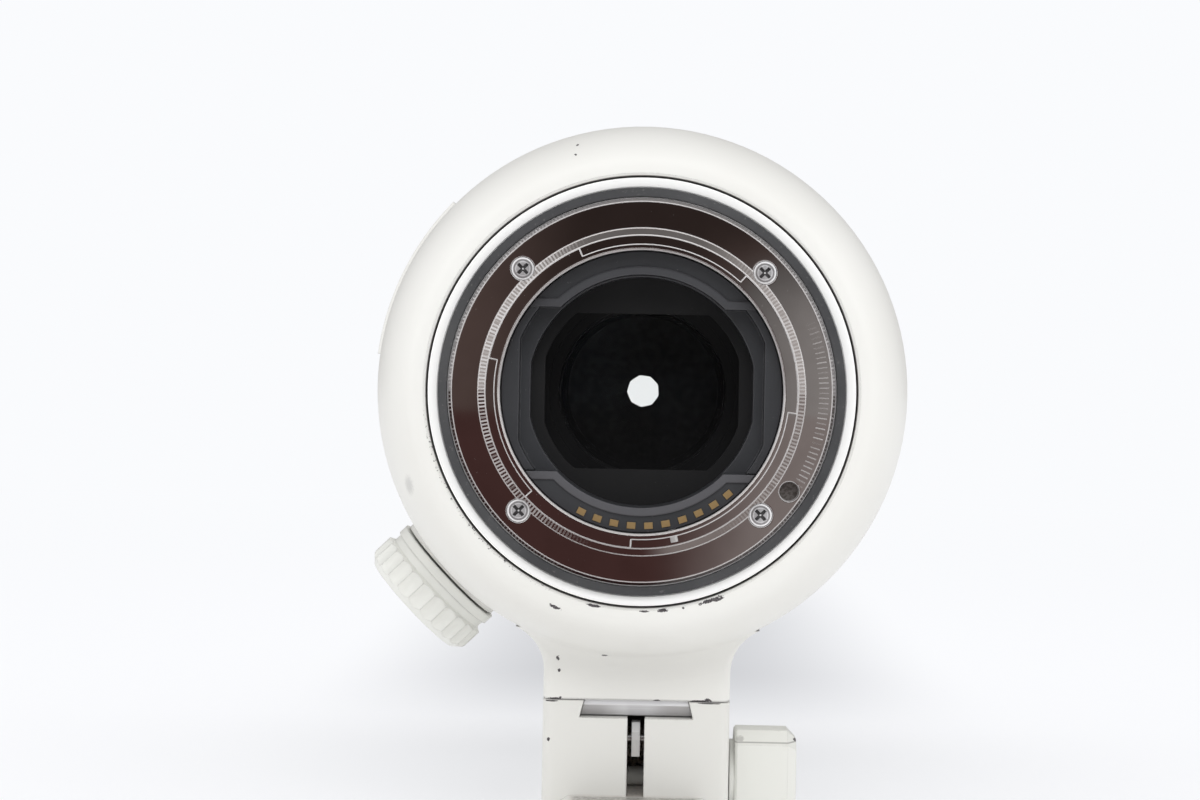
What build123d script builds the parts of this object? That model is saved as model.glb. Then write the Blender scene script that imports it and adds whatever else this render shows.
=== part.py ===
from build123d import *
from math import asin, atan2, cos, degrees, hypot, radians, sin, sqrt, tan
import os

# A white telephoto zoom lens. The optical axis is Y, the camera side faces -Y, and +Z is up.
# The origin is the centre of the bayonet's flange face. Sizes are in millimetres.
# Angles round the axis run counter-clockwise from +X as a viewer behind the camera sees them.

# Clearances shared by the pieces
overrun = 1.0              # how far a cut runs past what it cuts
seat_gap = 0.05            # radial play where one piece is pressed or screwed into another
running_gap = 0.06         # radial play of a running fit
sliding_gap = 0.1          # play of long sliding fits
face_gap = 0.3             # axial play between rings that turn past each other

# Bayonet mount ring
bore_radius = 20.86
lug_tube_wall = 0.94
lug_tube_radius = bore_radius + lug_tube_wall
lug_reach = 1.2
lug_radius = lug_tube_radius + lug_reach
lug_thickness = 1.6
bayonet_depth = 5.2
shoulder_step = 0.3
shoulder_radius = lug_radius + shoulder_step
shoulder_height = 0.9
shoulder_slope = 1.1
flange_inner_radius = shoulder_radius + shoulder_slope
flange_width = 4.6
flange_radius = flange_inner_radius + flange_width
flange_chamfer = 0.67
flange_chamfer_depth = 0.25
flange_thickness = 3.0
lug_angles = ((-7, 49), (114.5, 168.5), (223, 267))
bore_chamfer = 0.3
screw_circle_inset = 3.5
screw_circle_radius = flange_radius - screw_circle_inset
screw_angles = (45, 135, 225, 315)
screw_head_radius = 1.71
screw_head_height = 1.1
screw_head_sink = 0.05
screw_shaft_radius = 0.85
screw_length = 6.2
recess_length = 2.1
recess_width = 0.5
recess_depth = 0.55
lock_hole_angle = 327
lock_hole_inset = 2.5
lock_hole_circle_radius = flange_radius - lock_hole_inset
lock_hole_radius = 1.5
lock_hole_depth = 2.4
stop_pin_angle = 283.5
stop_pin_radius = 0.55
stop_pin_reach = 0.95
stop_pin_y = -2.3

# Pieces inside the bore
liner_radius = bore_radius - running_gap
liner_top_block = 3.4
liner_opening_radius = liner_radius - liner_top_block
liner_side_wall = 1.1
liner_side_radius = liner_radius - liner_side_wall
liner_rear_y = -1.6
liner_flat_inset = 2.6
liner_flat_x = liner_radius - liner_flat_inset
liner_deep_step = 0.5
liner_deep_radius = liner_radius + liner_deep_step
liner_deep_y = 7.5
liner_deep_wall = 4.1
liner_deep_opening_radius = liner_deep_radius - liner_deep_wall
liner_deep_flat_inset = 0.5
liner_deep_opening_x = liner_deep_opening_radius - liner_deep_flat_inset
liner_block_z = 12.4
contact_block_z = -12.0
contact_block_depth = 3.6
contact_block_radius = liner_radius - contact_block_depth
contact_block_rear_y = -2.0
block_lip_width = 1.2
block_lip_height = 0.3
contact_joint = 0.15
pad_angles = tuple(244.3 + 7.42 * number for number in range(10))
pad_inset = 0.95
pad_circle_radius = liner_radius - pad_inset
pad_length = 1.25
pad_width = 0.95
pad_height = 0.7
pad_proud = 0.12
baffle_rim = 2.7
baffle_radius = liner_deep_radius + baffle_rim
baffle_thickness = 1.5
baffle_half_width = 14.7
baffle_half_height = 11.8
baffle_corner_radius = 15.5

# Rear barrel, its seal and cover ring
seal_width = 1.33
seal_radius = flange_radius + seat_gap + seal_width
seal_proud = 0.15
cover_ring_inner_radius = seal_radius + seat_gap
cover_ring_width = 1.55
cover_ring_radius = cover_ring_inner_radius + cover_ring_width
cover_ring_rear_y = 1.0
cover_ring_front_y = 5.0
cover_ring_chamfer = 0.2
rear_barrel_inner_radius = liner_deep_radius + face_gap
rear_barrel_cone_y = 9.0
rear_barrel_flare = 6.16
rear_barrel_radius = cover_ring_radius + rear_barrel_flare
rear_barrel_cone_end_y = 24.0
rear_barrel_wall = 2.94
rear_barrel_shell = 2.98
rear_barrel_chamber_radius = cover_ring_radius - rear_barrel_shell
rear_barrel_chamber_y = 12.0
rear_barrel_chamber_end_y = 26.0
rear_barrel_front_y = 46.1
rear_spigot_step = 1.14
rear_spigot_radius = rear_barrel_radius - rear_spigot_step
rear_spigot_y = 52.0
clamp_groove_y = 33.0
clamp_groove_depth = 0.94
clamp_groove_half_width = 4.3

# Tripod collar
collar_bore_play = 0.32
collar_bore_radius = cover_ring_radius + collar_bore_play
collar_rear_y = 2.0
collar_lip = 0.45
collar_land = 0.45
collar_wall = 3.15
collar_radius = rear_barrel_radius + running_gap + collar_wall
collar_bell_y = 23.0
quarter_turn = 90.0
collar_front_y = 45.7
collar_front_chamfer = 0.5
collar_cone_gap = 0.36
collar_relief_y = 25.5
neck_half_width = 14.6
neck_drop = 6.85
neck_bottom_z = -collar_radius - neck_drop
neck_rear_y = 20.0
neck_fillet = 8.0
neck_edge = 0.4
neck_round = 1.6
neck_cove = 4.5
knob_angle = 224.0
knob_y = clamp_groove_y
knob_boss_radius = 9.5
knob_boss_height = 0.7
knob_boss_top = collar_radius + knob_boss_height
knob_boss_root = 1.85
knob_boss_base = collar_radius - knob_boss_root

# Collar lock knob and clamp shoe
knob_base_radius = 9.6
knob_base_step = 2.85
knob_rim_radius = 10.0
knob_rim_height = 1.5
knob_radius = 10.5
knob_flute_depth = 0.5
knob_flute_count = 25
knob_height = 8.15
knob_top = knob_boss_top + knob_height
knob_chamfer = 1.3
knob_dish_radius = 7.4
knob_dish_depth = 0.5
knob_stem_radius = 3.0
shoe_radius = 4.0
shoe_height = 2.2
shoe_lift = 0.25
shoe_floor_gap = 0.1

# Dovetail plate under the neck
dovetail_top_half_width = 8.05
dovetail_half_width = 8.75
dovetail_height = 2.7
dovetail_rear_y = 20.8
dovetail_front_y = 45.0
dovetail_chamfer = 1.9
dovetail_screw_radius = 1.2
dovetail_screw_head_radius = 2.1
dovetail_screw_head_height = 1.2
dovetail_screw_length = 5.2
dovetail_screw_x = 5.0
dovetail_screw_margin = 5.0

# Quick-release foot
foot_half_width = 14.6
foot_rear_y = 20.0
foot_front_y = 46.0
foot_gusset = 10.0
foot_slot_half_width = 1.325
foot_slot_land = 6.0
foot_block_height = 15.1
shoe_top_z = neck_bottom_z - foot_block_height
foot_shoe_height = 9.7
foot_bottom_z = shoe_top_z - foot_shoe_height
shoe_half_width = 14.5
shoe_top_half_width = 10.5
shoe_shoulder_drop = 2.6
shoe_bottom_edge = 1.0
shoe_rear_y = 10.0
shoe_front_y = 104.0
shoe_corner = 6.0
socket_radius = 2.6
socket_depth = 6.5
socket_ys = (34.0, 66.0)
foot_edge = 1.6

# Foot lock knob with its clamp screw
foot_knob_rise = 1.6
foot_knob_z = shoe_top_z + foot_knob_rise
foot_knob_y = 33.0
foot_neck_radius = 6.2
foot_neck_gap = 0.3
foot_knob_start_x = 15.7
foot_knob_end_x = 25.5
foot_knob_half_height = 8.1
foot_knob_half_depth = 6.6
foot_knob_facet = 2.0
foot_knob_top_half_depth = 3.2
foot_knob_edge = 1.4
clamp_screw_radius = 1.5
clamp_screw_end_x = -11.0

# Safety catch
catch_thickness = 1.3
catch_drop = 3.7
catch_top_z = neck_bottom_z - catch_drop
catch_height = 5.3
catch_bottom_z = catch_top_z - catch_height
catch_y = 21.2
catch_depth = 4.6
catch_nose = 1.3
catch_pivot_drop = 2.6
catch_pivot_z = catch_top_z - catch_pivot_drop
catch_pivot_y = 23.8
catch_pin_radius = 0.5
catch_pin_half_length = 3.6

# Nested barrels, from the front tube's bore outwards
front_tube_bore_step = 1.46
front_tube_wall = 1.6
guide_wall = 1.4
cam_wall = 1.2
front_tube_inner_radius = rear_barrel_radius + front_tube_bore_step
front_tube_radius = front_tube_inner_radius + front_tube_wall
guide_inner_radius = front_tube_radius + sliding_gap
guide_radius = guide_inner_radius + guide_wall
cam_inner_radius = guide_radius + sliding_gap
cam_radius = cam_inner_radius + cam_wall

# Main barrel and guide barrel
focus_spigot_wall = 1.15
focus_spigot_radius = guide_radius + seat_gap + focus_spigot_wall
main_shoulder = 0.4
main_radius = focus_spigot_radius + main_shoulder
main_flare = 2.4
main_rear_radius = main_radius - main_flare
main_rear_y = 46.5
main_rear_chamfer = 0.7
main_flare_y = 56.0
main_front_y = 84.0
main_chamber_step = 0.7
main_chamber_radius = guide_inner_radius - main_chamber_step
main_chamber_y = 52.2
guide_shoulder = 2.0
guide_start_y = main_flare_y + guide_shoulder

# Switch panel
panel_height = 1.2
panel_radius = main_radius + panel_height
panel_angles = (136, 173)
panel_rear_y = 58.5
panel_front_y = 81.0
panel_edge = 0.5
switch_angles = (140.5, 149.83, 159.17, 168.5)
switch_length = 3.4
switch_width = 2.3
switch_travel = 3.6
switch_rise = 0.1
switch_top = panel_radius + switch_rise
switch_floor = 0.2
switch_slot_floor = main_radius + switch_floor
switch_play = 0.15
switch_bottom = switch_slot_floor + switch_play
switch_slot_gap = 0.12
switch_ridge = 0.35

# Focus ring and button barrel
focus_ring_start_y = main_front_y + face_gap
focus_ring_length = 23.7
focus_ring_end_y = focus_ring_start_y + focus_ring_length
focus_ring_wall = 0.99
focus_ring_radius = focus_spigot_radius + running_gap + focus_ring_wall
grip_rib_depth = 0.45
focus_grip_height = 0.55
focus_grip_radius = focus_ring_radius + focus_grip_height
focus_grip_margin = 3.0
focus_rib_count = 84
focus_rib_share = 0.62
button_start_y = focus_ring_end_y + face_gap
button_barrel_length = 13.7
button_end_y = button_start_y + button_barrel_length
button_seat_length = 1.7
focus_spigot_y = button_start_y + button_seat_length
button_barrel_play = 0.35
button_barrel_inner_radius = cam_radius + button_barrel_play
button_barrel_wall = 1.55
button_barrel_radius = button_barrel_inner_radius + button_barrel_wall
tension_spigot_wall = 0.55
tension_spigot_radius = button_barrel_inner_radius + tension_spigot_wall
hold_button_angles = (90, 0, 180)
hold_button_radius = 3.6
hold_button_gap = 0.12
hold_button_rise = 0.45
hold_button_top = button_barrel_radius + hold_button_rise
hold_button_floor = 1.1
hold_button_bottom = focus_spigot_radius + hold_button_floor
hold_button_dish = 0.25
tension_start_y = button_end_y + face_gap
tension_ring_length = 7.7
tension_end_y = tension_start_y + tension_ring_length
tension_spigot_end_y = tension_end_y - sliding_gap
tension_ring_wall = 1.14
tension_ring_radius = tension_spigot_radius + running_gap + tension_ring_wall
tension_rib_count = 60
tension_rib_share = 0.6

# Zoom ring, cam barrel and their travel
zoom_gap = 0.4
zoom_ring_length = 54.8
zoom_start_y = tension_end_y + zoom_gap
zoom_end_y = zoom_start_y + zoom_ring_length
zoom_ring_relief = 0.6
zoom_ring_inner_radius = cam_radius + zoom_ring_relief
zoom_ring_wall = 1.6
zoom_ring_radius = zoom_ring_inner_radius + zoom_ring_wall
zoom_rib_width = 3.6
zoom_lip_length = 1.2
zoom_lip_y = zoom_end_y - zoom_lip_length
guide_inset = 1.6
guide_front_y = zoom_end_y - guide_inset
zoom_lip_play = 0.5
zoom_lip_radius = front_tube_radius + zoom_lip_play
zoom_grip_height = 0.75
zoom_grip_radius = zoom_ring_radius + zoom_grip_height
zoom_grip_margin = 5.0
zoom_rib_count = 96
zoom_rib_share = 0.62
cam_gap = 0.4
cam_inset = 2.2
cam_start_y = focus_spigot_y + cam_gap
cam_end_y = zoom_end_y - cam_inset
zoom_turn = 75.0
cam_steps = 10
follower_radius = 1.2
follower_gap = 0.25
follower_sink = 0.4
follower_tip_radius = cam_radius - follower_sink
front_follower_angles = (0, 120, 240)
front_follower_margin = 5.6
front_follower_y = cam_start_y + front_follower_margin
front_travel = 58.0
variator_follower_angles = (20, 140, 260)
variator_follower_margin = 4.1
variator_follower_y = cam_start_y + variator_follower_margin
variator_travel = 14.0

# Front tube, filter ring and front lenses
front_tube_tail = 4.0
front_tube_start_y = front_follower_y - front_tube_tail
filter_ring_gap = 1.8
filter_ring_start_y = zoom_end_y + filter_ring_gap
filter_seat_length = 3.0
front_tube_end_y = filter_ring_start_y + filter_seat_length
front_shelf_inset = 14.0
front_shelf_y = front_tube_end_y - front_shelf_inset
front_shelf_thickness = 1.5
second_lens_inset = 3.6
second_lens_radius = front_tube_inner_radius - second_lens_inset
second_lens_thickness = 6.0
front_shelf_lip = 1.0
front_shelf_radius = second_lens_radius - front_shelf_lip
filter_ring_wall = 1.8
filter_ring_radius = front_tube_radius + filter_ring_wall
filter_ring_reach = 15.0
filter_ring_end_y = front_tube_end_y + filter_ring_reach
filter_thread_wall = 4.9
filter_thread_radius = filter_ring_radius - filter_thread_wall
filter_thread_length = 6.0
filter_lip_width = 1.5
filter_lip_radius = filter_thread_radius - filter_lip_width
filter_lip_thickness = 1.4
filter_edge = 0.5
front_lens_inset = 0.5
front_lens_radius = filter_thread_radius - front_lens_inset
front_lens_bulge = 1.6
front_lens_front_bulge = 1.1

# Variator group
variator_play = 0.4
variator_radius = front_tube_inner_radius - variator_play
variator_cell_length = 7.0
variator_follower_inset = 2.5
variator_rear_y = variator_follower_y - variator_follower_inset
variator_lens_radius = 27.0
variator_lip = 1.4
variator_lip_thickness = 1.2

# Focus group
focus_cell_rear_y = 86.0
focus_cell_length = 6.5
focus_cell_radius = guide_inner_radius - sliding_gap
focus_lens_radius = 24.0

# Iris and stabiliser
iris_housing_rear_y = 72.0
iris_plate_thickness = 1.0
iris_opening_radius = 13.0
iris_housing_radius = guide_inner_radius - seat_gap
iris_wall_inner_radius = 29.5
iris_wall_radius = 31.0
iris_wall_front_y = 76.6
iris_blade_count = 9
iris_blade_thickness = 0.15
iris_level_pitch = 0.2
iris_pivot_radius = 21.0
iris_post_radius = 0.6
iris_blade_inner_radius = 13.1
iris_blade_outer_radius = 20.0
iris_blade_span = 106.0
iris_blade_root_angle = -2.0
iris_arm_length = 5.0
iris_arm_width = 2.3
iris_pin_radius = 0.5
iris_pin_gap = 0.12
iris_hole_radius = 2.8
iris_start_angle = 19.6
iris_ring_inner_radius = 23.0
iris_ring_thickness = 0.8
yoke_radius = 33.0
yoke_opening_radius = 19.5
yoke_thickness = 1.2
stabiliser_gap = 0.3
stabiliser_cell_radius = 25.0
stabiliser_cell_length = 4.8
stabiliser_lens_radius = 17.5
yoke_tab_length = 4.0
yoke_tab_width = 7.0

# Rear lens cell, its lenses and the main board
rear_cell_rear_y = 22.0
rear_cell_mouth_radius = 14.7
rear_cell_radius = 16.5
rear_cell_lip_y = 23.5
rear_cell_lip_radius = 13.2
rear_cell_lip_thickness = 1.5
rear_lens_radius = 14.1
rear_lens_length = 6.0
rear_cell_waist_radius = 13.0
rear_cell_waist_end_y = 34.0
rear_second_lens_radius = 13.4
rear_second_lens_length = 4.0
rear_cell_flange_y = 40.0
rear_cell_flange_thickness = 3.0
board_inner_radius = 17.6
board_radius = 34.0
board_thickness = 1.0
chip_angles = (20, 75, 130, 200, 260, 320)
chip_size = 5.0
chip_height = 1.1
chip_circle_radius = 26.0


def turned(*points):
    """A solid turned about the optical axis from (radius, y) points."""
    return revolve(make_face(Polyline(*points, close=True)), Axis.Y)


def ring(inner, outer, start, end):
    return turned((inner, start), (outer, start), (outer, end), (inner, end))


def disc(radius, start, end):
    return turned((0, start), (radius, start), (radius, end), (0, end))


def sector(inner, outer, start, end, first_angle, last_angle):
    """Part of a ring, from first_angle round to last_angle."""
    face = make_face(Polyline((inner, start), (outer, start), (outer, end), (inner, end), close=True))
    return at_angle(revolve(face, Axis.Y, revolution_arc=last_angle - first_angle), last_angle)


def at_angle(shape, angle):
    return Rot(0, -angle, 0) * shape


def radial_plane(angle, radius, y):
    """A plane facing outwards: its x runs along the axis and its y round it."""
    out = (cos(radians(angle)), 0, sin(radians(angle)))
    return Plane(origin=(radius * out[0], y, radius * out[2]), x_dir=(0, 1, 0), z_dir=out)


def rod(plane, radius, length):
    return plane * Cylinder(radius, length, align=(Align.CENTER, Align.CENTER, Align.MIN))


def block(plane, along, across, height):
    return plane * Box(along, across, height, align=(Align.CENTER, Align.CENTER, Align.MIN))


def radial_rod(angle, y, radius, start, end):
    return rod(radial_plane(angle, start, y), radius, end - start)


def axial_rod(angle, circle_radius, radius, start, end):
    centre = (circle_radius * cos(radians(angle)), start, circle_radius * sin(radians(angle)))
    return rod(Plane(origin=centre, x_dir=(1, 0, 0), z_dir=(0, 1, 0)), radius, end - start)


def cross_rod(y, z, radius, start, end):
    """A round bar along X."""
    return rod(Plane(origin=(start, y, z), x_dir=(0, 1, 0), z_dir=(1, 0, 0)), radius, end - start)


def slab(outline, start, end):
    """A sketch drawn in x and z, given its thickness along the axis."""
    plane = Plane(origin=(0, end, 0), x_dir=(1, 0, 0), z_dir=(0, -1, 0))
    return extrude(plane * outline, amount=end - start)


def side_slab(points, half_width):
    """An outline of (y, z) points, given its thickness across X."""
    face = make_face(Polyline(*[(0, y, z) for y, z in points], close=True))
    return extrude(face, amount=half_width, dir=(1, 0, 0), both=True)


def box_between(low, high):
    size = [b - a for a, b in zip(low, high)]
    return Pos(*low) * Box(*size, align=(Align.MIN, Align.MIN, Align.MIN))


def ribbed_outline(radius, depth, count, rib_share):
    """A round outline with raised ribs; rib_share is the part of each pitch that a rib takes."""
    points = []
    pitch = 360 / count
    for number in range(count):
        edges = ((0, radius - depth), (0, radius), (rib_share, radius), (rib_share, radius - depth))
        for share, level in edges:
            angle = radians(pitch * (number + share))
            points.append((level * cos(angle), level * sin(angle)))
    return make_face(Polyline(*points, close=True))


def fluted_outline(radius, depth, count):
    """A round outline of hollow flutes that meet in ridges."""
    pitch = radians(360 / count)
    lines = []
    for number in range(count):
        first, middle, last = (pitch * (number + share) for share in (0, 0.5, 1))
        lines.append(ThreePointArc((radius * cos(first), radius * sin(first)),
                                   ((radius - depth) * cos(middle), (radius - depth) * sin(middle)),
                                   (radius * cos(last), radius * sin(last))))
    return make_face(lines)


def dome_point(radius, bulge):
    """Where a spherical surface lies at half its radius, measured from its edge towards its crown."""
    sphere = (radius ** 2 + bulge ** 2) / (2 * bulge)
    half = radius / 2
    return bulge - (sphere - sqrt(sphere ** 2 - half ** 2))


def seat_rise(radius, lip, bulge):
    """How far a convex surface rises above its edge where it meets a lip of a smaller radius."""
    sphere = (radius ** 2 + bulge ** 2) / (2 * bulge)
    return sqrt(sphere ** 2 - lip ** 2) - sqrt(sphere ** 2 - radius ** 2)


def element(radius, rear, front, rear_bulge, front_bulge):
    """A glass lens; a bulge is positive where its surface is convex."""
    rear_sign = 1 if rear_bulge > 0 else -1
    front_sign = 1 if front_bulge > 0 else -1
    rear_mid = rear - rear_sign * dome_point(radius, abs(rear_bulge))
    front_mid = front + front_sign * dome_point(radius, abs(front_bulge))
    outline = [
        ThreePointArc((0, rear - rear_bulge), (radius / 2, rear_mid), (radius, rear)),
        Line((radius, rear), (radius, front)),
        ThreePointArc((radius, front), (radius / 2, front_mid), (0, front + front_bulge)),
        Line((0, front + front_bulge), (0, rear - rear_bulge)),
    ]
    return revolve(make_face(outline), Axis.Y)


def helical_cut(angle, turn, start, rise, inner, outer):
    """Cutters for a cam slot that climbs by rise while it goes round by turn."""
    half_width = follower_radius + follower_gap
    mid_radius = (inner + outer) / 2
    slope = rise / (mid_radius * radians(turn))
    half_height = half_width * sqrt(1 + slope ** 2)
    step = turn / cam_steps
    half_chord = outer * tan(radians(step / 2))
    depth = outer - inner + 2 * overrun
    cutters = []
    for number in range(cam_steps):
        rear = start + rise * number / cam_steps
        middle = rear + rise / cam_steps / 2
        lead = rise / cam_steps / 2
        outline = make_face(Polyline(
            (-lead - half_height, -half_chord), (-lead + half_height, -half_chord),
            (lead + half_height, half_chord), (lead - half_height, half_chord), close=True))
        plane = radial_plane(angle + step * (number + 0.5), inner - overrun, middle)
        cutters.append(extrude(plane * outline, amount=depth))
    for share in (0, 1):
        cutters.append(radial_rod(angle + turn * share, start + rise * share, half_width,
                                  inner - overrun, outer + overrun))
    return cutters


def straight_cut(angle, start, travel, inner, outer):
    """A straight slot along the axis for one follower."""
    half_width = follower_radius + follower_gap
    plane = radial_plane(angle, inner - overrun, start + travel / 2)
    return block(plane, travel + 2 * half_width, 2 * half_width, outer - inner + 2 * overrun)


def save(name, *solids):
    shape = solids[0] if len(solids) == 1 else Compound(children=list(solids))
    export_step(shape, "parts/" + name + ".step")


# Mount end


def make_mount_ring():
    body = turned(
        (bore_radius + bore_chamfer, -bayonet_depth), (lug_tube_radius, -bayonet_depth),
        (lug_tube_radius, -shoulder_height), (shoulder_radius, -shoulder_height),
        (flange_inner_radius, 0), (flange_radius - flange_chamfer, 0),
        (flange_radius, flange_chamfer_depth), (flange_radius, flange_thickness),
        (bore_radius, flange_thickness), (bore_radius, -bayonet_depth + bore_chamfer))
    root = lug_tube_radius - seat_gap
    for first, last in lug_angles:
        body += sector(root, lug_radius, -bayonet_depth, lug_thickness - bayonet_depth, first, last)
    seat = screw_head_height + screw_head_sink
    head = screw_head_radius + running_gap
    shaft = screw_shaft_radius + seat_gap
    for angle in screw_angles:
        body -= axial_rod(angle, screw_circle_radius, head, -shoulder_height, seat)
        body -= axial_rod(angle, screw_circle_radius, shaft, 0, flange_thickness + overrun)
    body -= axial_rod(lock_hole_angle, lock_hole_circle_radius, lock_hole_radius, -overrun, lock_hole_depth)
    return body - radial_rod(stop_pin_angle, stop_pin_y, stop_pin_radius, bore_radius - overrun,
                             lug_tube_radius + overrun)


def make_mount_screw(angle):
    seat = screw_head_height + screw_head_sink
    screw = axial_rod(angle, screw_circle_radius, screw_head_radius, screw_head_sink, seat)
    screw += axial_rod(angle, screw_circle_radius, screw_shaft_radius, seat, seat + screw_length)
    recess = Box(recess_length, 2 * recess_depth, recess_width)
    for turn in (0, 90):
        screw -= at_angle(Pos(screw_circle_radius, screw_head_sink, 0) * Rot(0, turn, 0) * recess, angle)
    return screw


def make_stop_pin():
    tip = lug_tube_radius + stop_pin_reach
    return radial_rod(stop_pin_angle, stop_pin_y, stop_pin_radius, bore_radius, tip)


def pad_box(angle, play):
    top = contact_block_rear_y - pad_proud
    box = Box(pad_width + 2 * play, pad_height + play, pad_length + 2 * play,
              align=(Align.CENTER, Align.MIN, Align.CENTER))
    return at_angle(Pos(pad_circle_radius, top, 0) * box, angle)


def bore_block(inner, rear, edge_z, side):
    """A block at the top (side 1) or the foot (side -1) of the bore, with a lip round its open edges."""
    lip_y = rear - block_lip_height
    far = side * (liner_radius + overrun)
    low, high = sorted((edge_z, far))
    body = ring(inner, liner_radius, lip_y, flange_thickness)
    body &= box_between((-liner_radius, lip_y, low), (liner_radius, flange_thickness, high))
    low, high = sorted((edge_z + side * block_lip_width, far))
    wide = liner_radius + overrun
    field = ring(inner + block_lip_width, wide, lip_y - overrun, rear)
    return body - (field & box_between((-wide, lip_y - overrun, low), (wide, rear, high)))


def make_contact_block():
    body = bore_block(contact_block_radius, contact_block_rear_y, contact_block_z, -1)
    for angle in pad_angles:
        body -= pad_box(angle, seat_gap / 2)
    return body


def make_inner_liner():
    body = bore_block(liner_opening_radius, liner_rear_y, liner_block_z, 1)
    low, high = contact_block_z + contact_joint, liner_block_z + block_lip_width
    body += ring(liner_side_radius, liner_radius, liner_rear_y, flange_thickness) & box_between(
        (-liner_radius, liner_rear_y, low), (liner_radius, flange_thickness, high))
    reach = sqrt(liner_radius ** 2 - liner_flat_x ** 2)
    bars = disc(liner_radius, liner_rear_y, flange_thickness) & box_between(
        (-liner_radius, liner_rear_y, -reach), (liner_radius, flange_thickness, reach))
    body += bars - box_between((-liner_flat_x, liner_rear_y - overrun, -liner_radius),
                               (liner_flat_x, flange_thickness + overrun, liner_radius))
    deep = disc(liner_deep_radius, flange_thickness, liner_deep_y)
    opening = Circle(liner_deep_opening_radius) & Rectangle(2 * liner_deep_opening_x, 2 * liner_radius)
    return body + (deep - slab(opening, flange_thickness - overrun, liner_deep_y + overrun))


def make_rear_baffle():
    rear = liner_deep_y + face_gap
    plate = disc(baffle_radius, rear, rear + baffle_thickness)
    opening = Circle(baffle_corner_radius) & Rectangle(2 * baffle_half_width, 2 * baffle_half_height)
    return plate - slab(opening, rear - overrun, rear + baffle_thickness + overrun)


def make_mount_seal():
    inner = flange_radius + seat_gap
    lip = seal_proud
    return turned((inner, -lip + lip / 2), (inner + lip, -lip), (seal_radius, -lip / 2),
                  (seal_radius, flange_thickness), (inner, flange_thickness))


def make_rear_cover_ring():
    edge = cover_ring_chamfer
    rear = cover_ring_rear_y
    return turned(
        (cover_ring_inner_radius, rear + edge), (cover_ring_inner_radius + edge, rear),
        (cover_ring_radius - edge, rear), (cover_ring_radius, rear + edge),
        (cover_ring_radius, cover_ring_front_y), (cover_ring_inner_radius, cover_ring_front_y))


def make_rear_barrel():
    seat = liner_deep_y + face_gap
    pocket = baffle_radius + seat_gap
    inner = rear_barrel_radius - rear_barrel_wall
    body = turned(
        (rear_barrel_inner_radius, flange_thickness), (seal_radius, flange_thickness),
        (seal_radius, cover_ring_front_y), (cover_ring_radius, cover_ring_front_y),
        (cover_ring_radius, rear_barrel_cone_y), (rear_barrel_radius, rear_barrel_cone_end_y),
        (rear_barrel_radius, rear_barrel_front_y), (rear_spigot_radius, rear_barrel_front_y),
        (rear_spigot_radius, rear_spigot_y), (inner, rear_spigot_y), (inner, rear_barrel_chamber_end_y),
        (rear_barrel_chamber_radius, rear_barrel_chamber_y), (pocket, rear_barrel_chamber_y),
        (pocket, seat), (rear_barrel_inner_radius, seat))
    body -= ring(rear_barrel_radius - clamp_groove_depth, rear_barrel_radius + overrun,
                 clamp_groove_y - clamp_groove_half_width, clamp_groove_y + clamp_groove_half_width)
    end = screw_head_sink + screw_head_height + screw_length + face_gap
    for angle in screw_angles:
        body -= axial_rod(angle, screw_circle_radius, screw_shaft_radius + seat_gap, 0, end)
    return body


# Tripod collar, its knob and clamp shoe


def collar_profile():
    """The bell and band of the collar in radius and y, filled in to the axis."""
    start = collar_bore_radius + collar_lip + collar_land
    bell = EllipticalCenterArc((start, collar_bell_y), collar_radius - start, collar_bell_y - collar_rear_y,
                               start_angle=-quarter_turn, arc_size=quarter_turn)
    rear = Polyline((0, collar_rear_y + collar_lip), (collar_bore_radius, collar_rear_y + collar_lip),
                    (collar_bore_radius + collar_lip, collar_rear_y), (start, collar_rear_y))
    band = Polyline((collar_radius, collar_bell_y), (collar_radius, collar_front_y - collar_front_chamfer),
                    (collar_radius - collar_front_chamfer, collar_front_y), (0, collar_front_y),
                    (0, collar_rear_y + collar_lip))
    return make_face([*rear.edges(), *bell.edges(), *band.edges()])


def collar_inside():
    """What the rear barrel and its play take out of the collar."""
    bearing = rear_barrel_radius + running_gap
    relief = rear_barrel_radius + collar_cone_gap
    front = collar_front_y + overrun
    return turned(
        (0, collar_rear_y - overrun), (collar_bore_radius, collar_rear_y - overrun),
        (collar_bore_radius, rear_barrel_cone_y), (relief, rear_barrel_cone_end_y), (relief, collar_relief_y),
        (bearing, collar_relief_y + collar_cone_gap), (bearing, front), (0, front))


def neck_outline():
    """The neck in x and z, with a fillet each side that runs into the round band."""
    centre_x = neck_half_width + neck_fillet
    centre_z = -sqrt((collar_radius + neck_fillet) ** 2 - centre_x ** 2)
    scale = collar_radius / (collar_radius + neck_fillet)
    touch = (centre_x * scale, centre_z * scale)
    bisect = radians((180 + degrees(atan2(touch[1] - centre_z, touch[0] - centre_x))) / 2)
    middle = (centre_x + neck_fillet * cos(bisect), centre_z + neck_fillet * sin(bisect))
    foot = neck_half_width - neck_edge
    lines = []
    for side in (-1, 1):
        wall_top = (side * neck_half_width, centre_z)
        wall_end = (side * neck_half_width, neck_bottom_z + neck_edge)
        lines.append(ThreePointArc((side * touch[0], touch[1]), (side * middle[0], middle[1]), wall_top))
        lines.append(Line(wall_top, wall_end))
        lines.append(Line(wall_end, (side * foot, neck_bottom_z)))
    lines.append(Line((-foot, neck_bottom_z), (foot, neck_bottom_z)))
    lines.append(Line((-touch[0], touch[1]), (touch[0], touch[1])))
    return make_face(lines)


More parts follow.
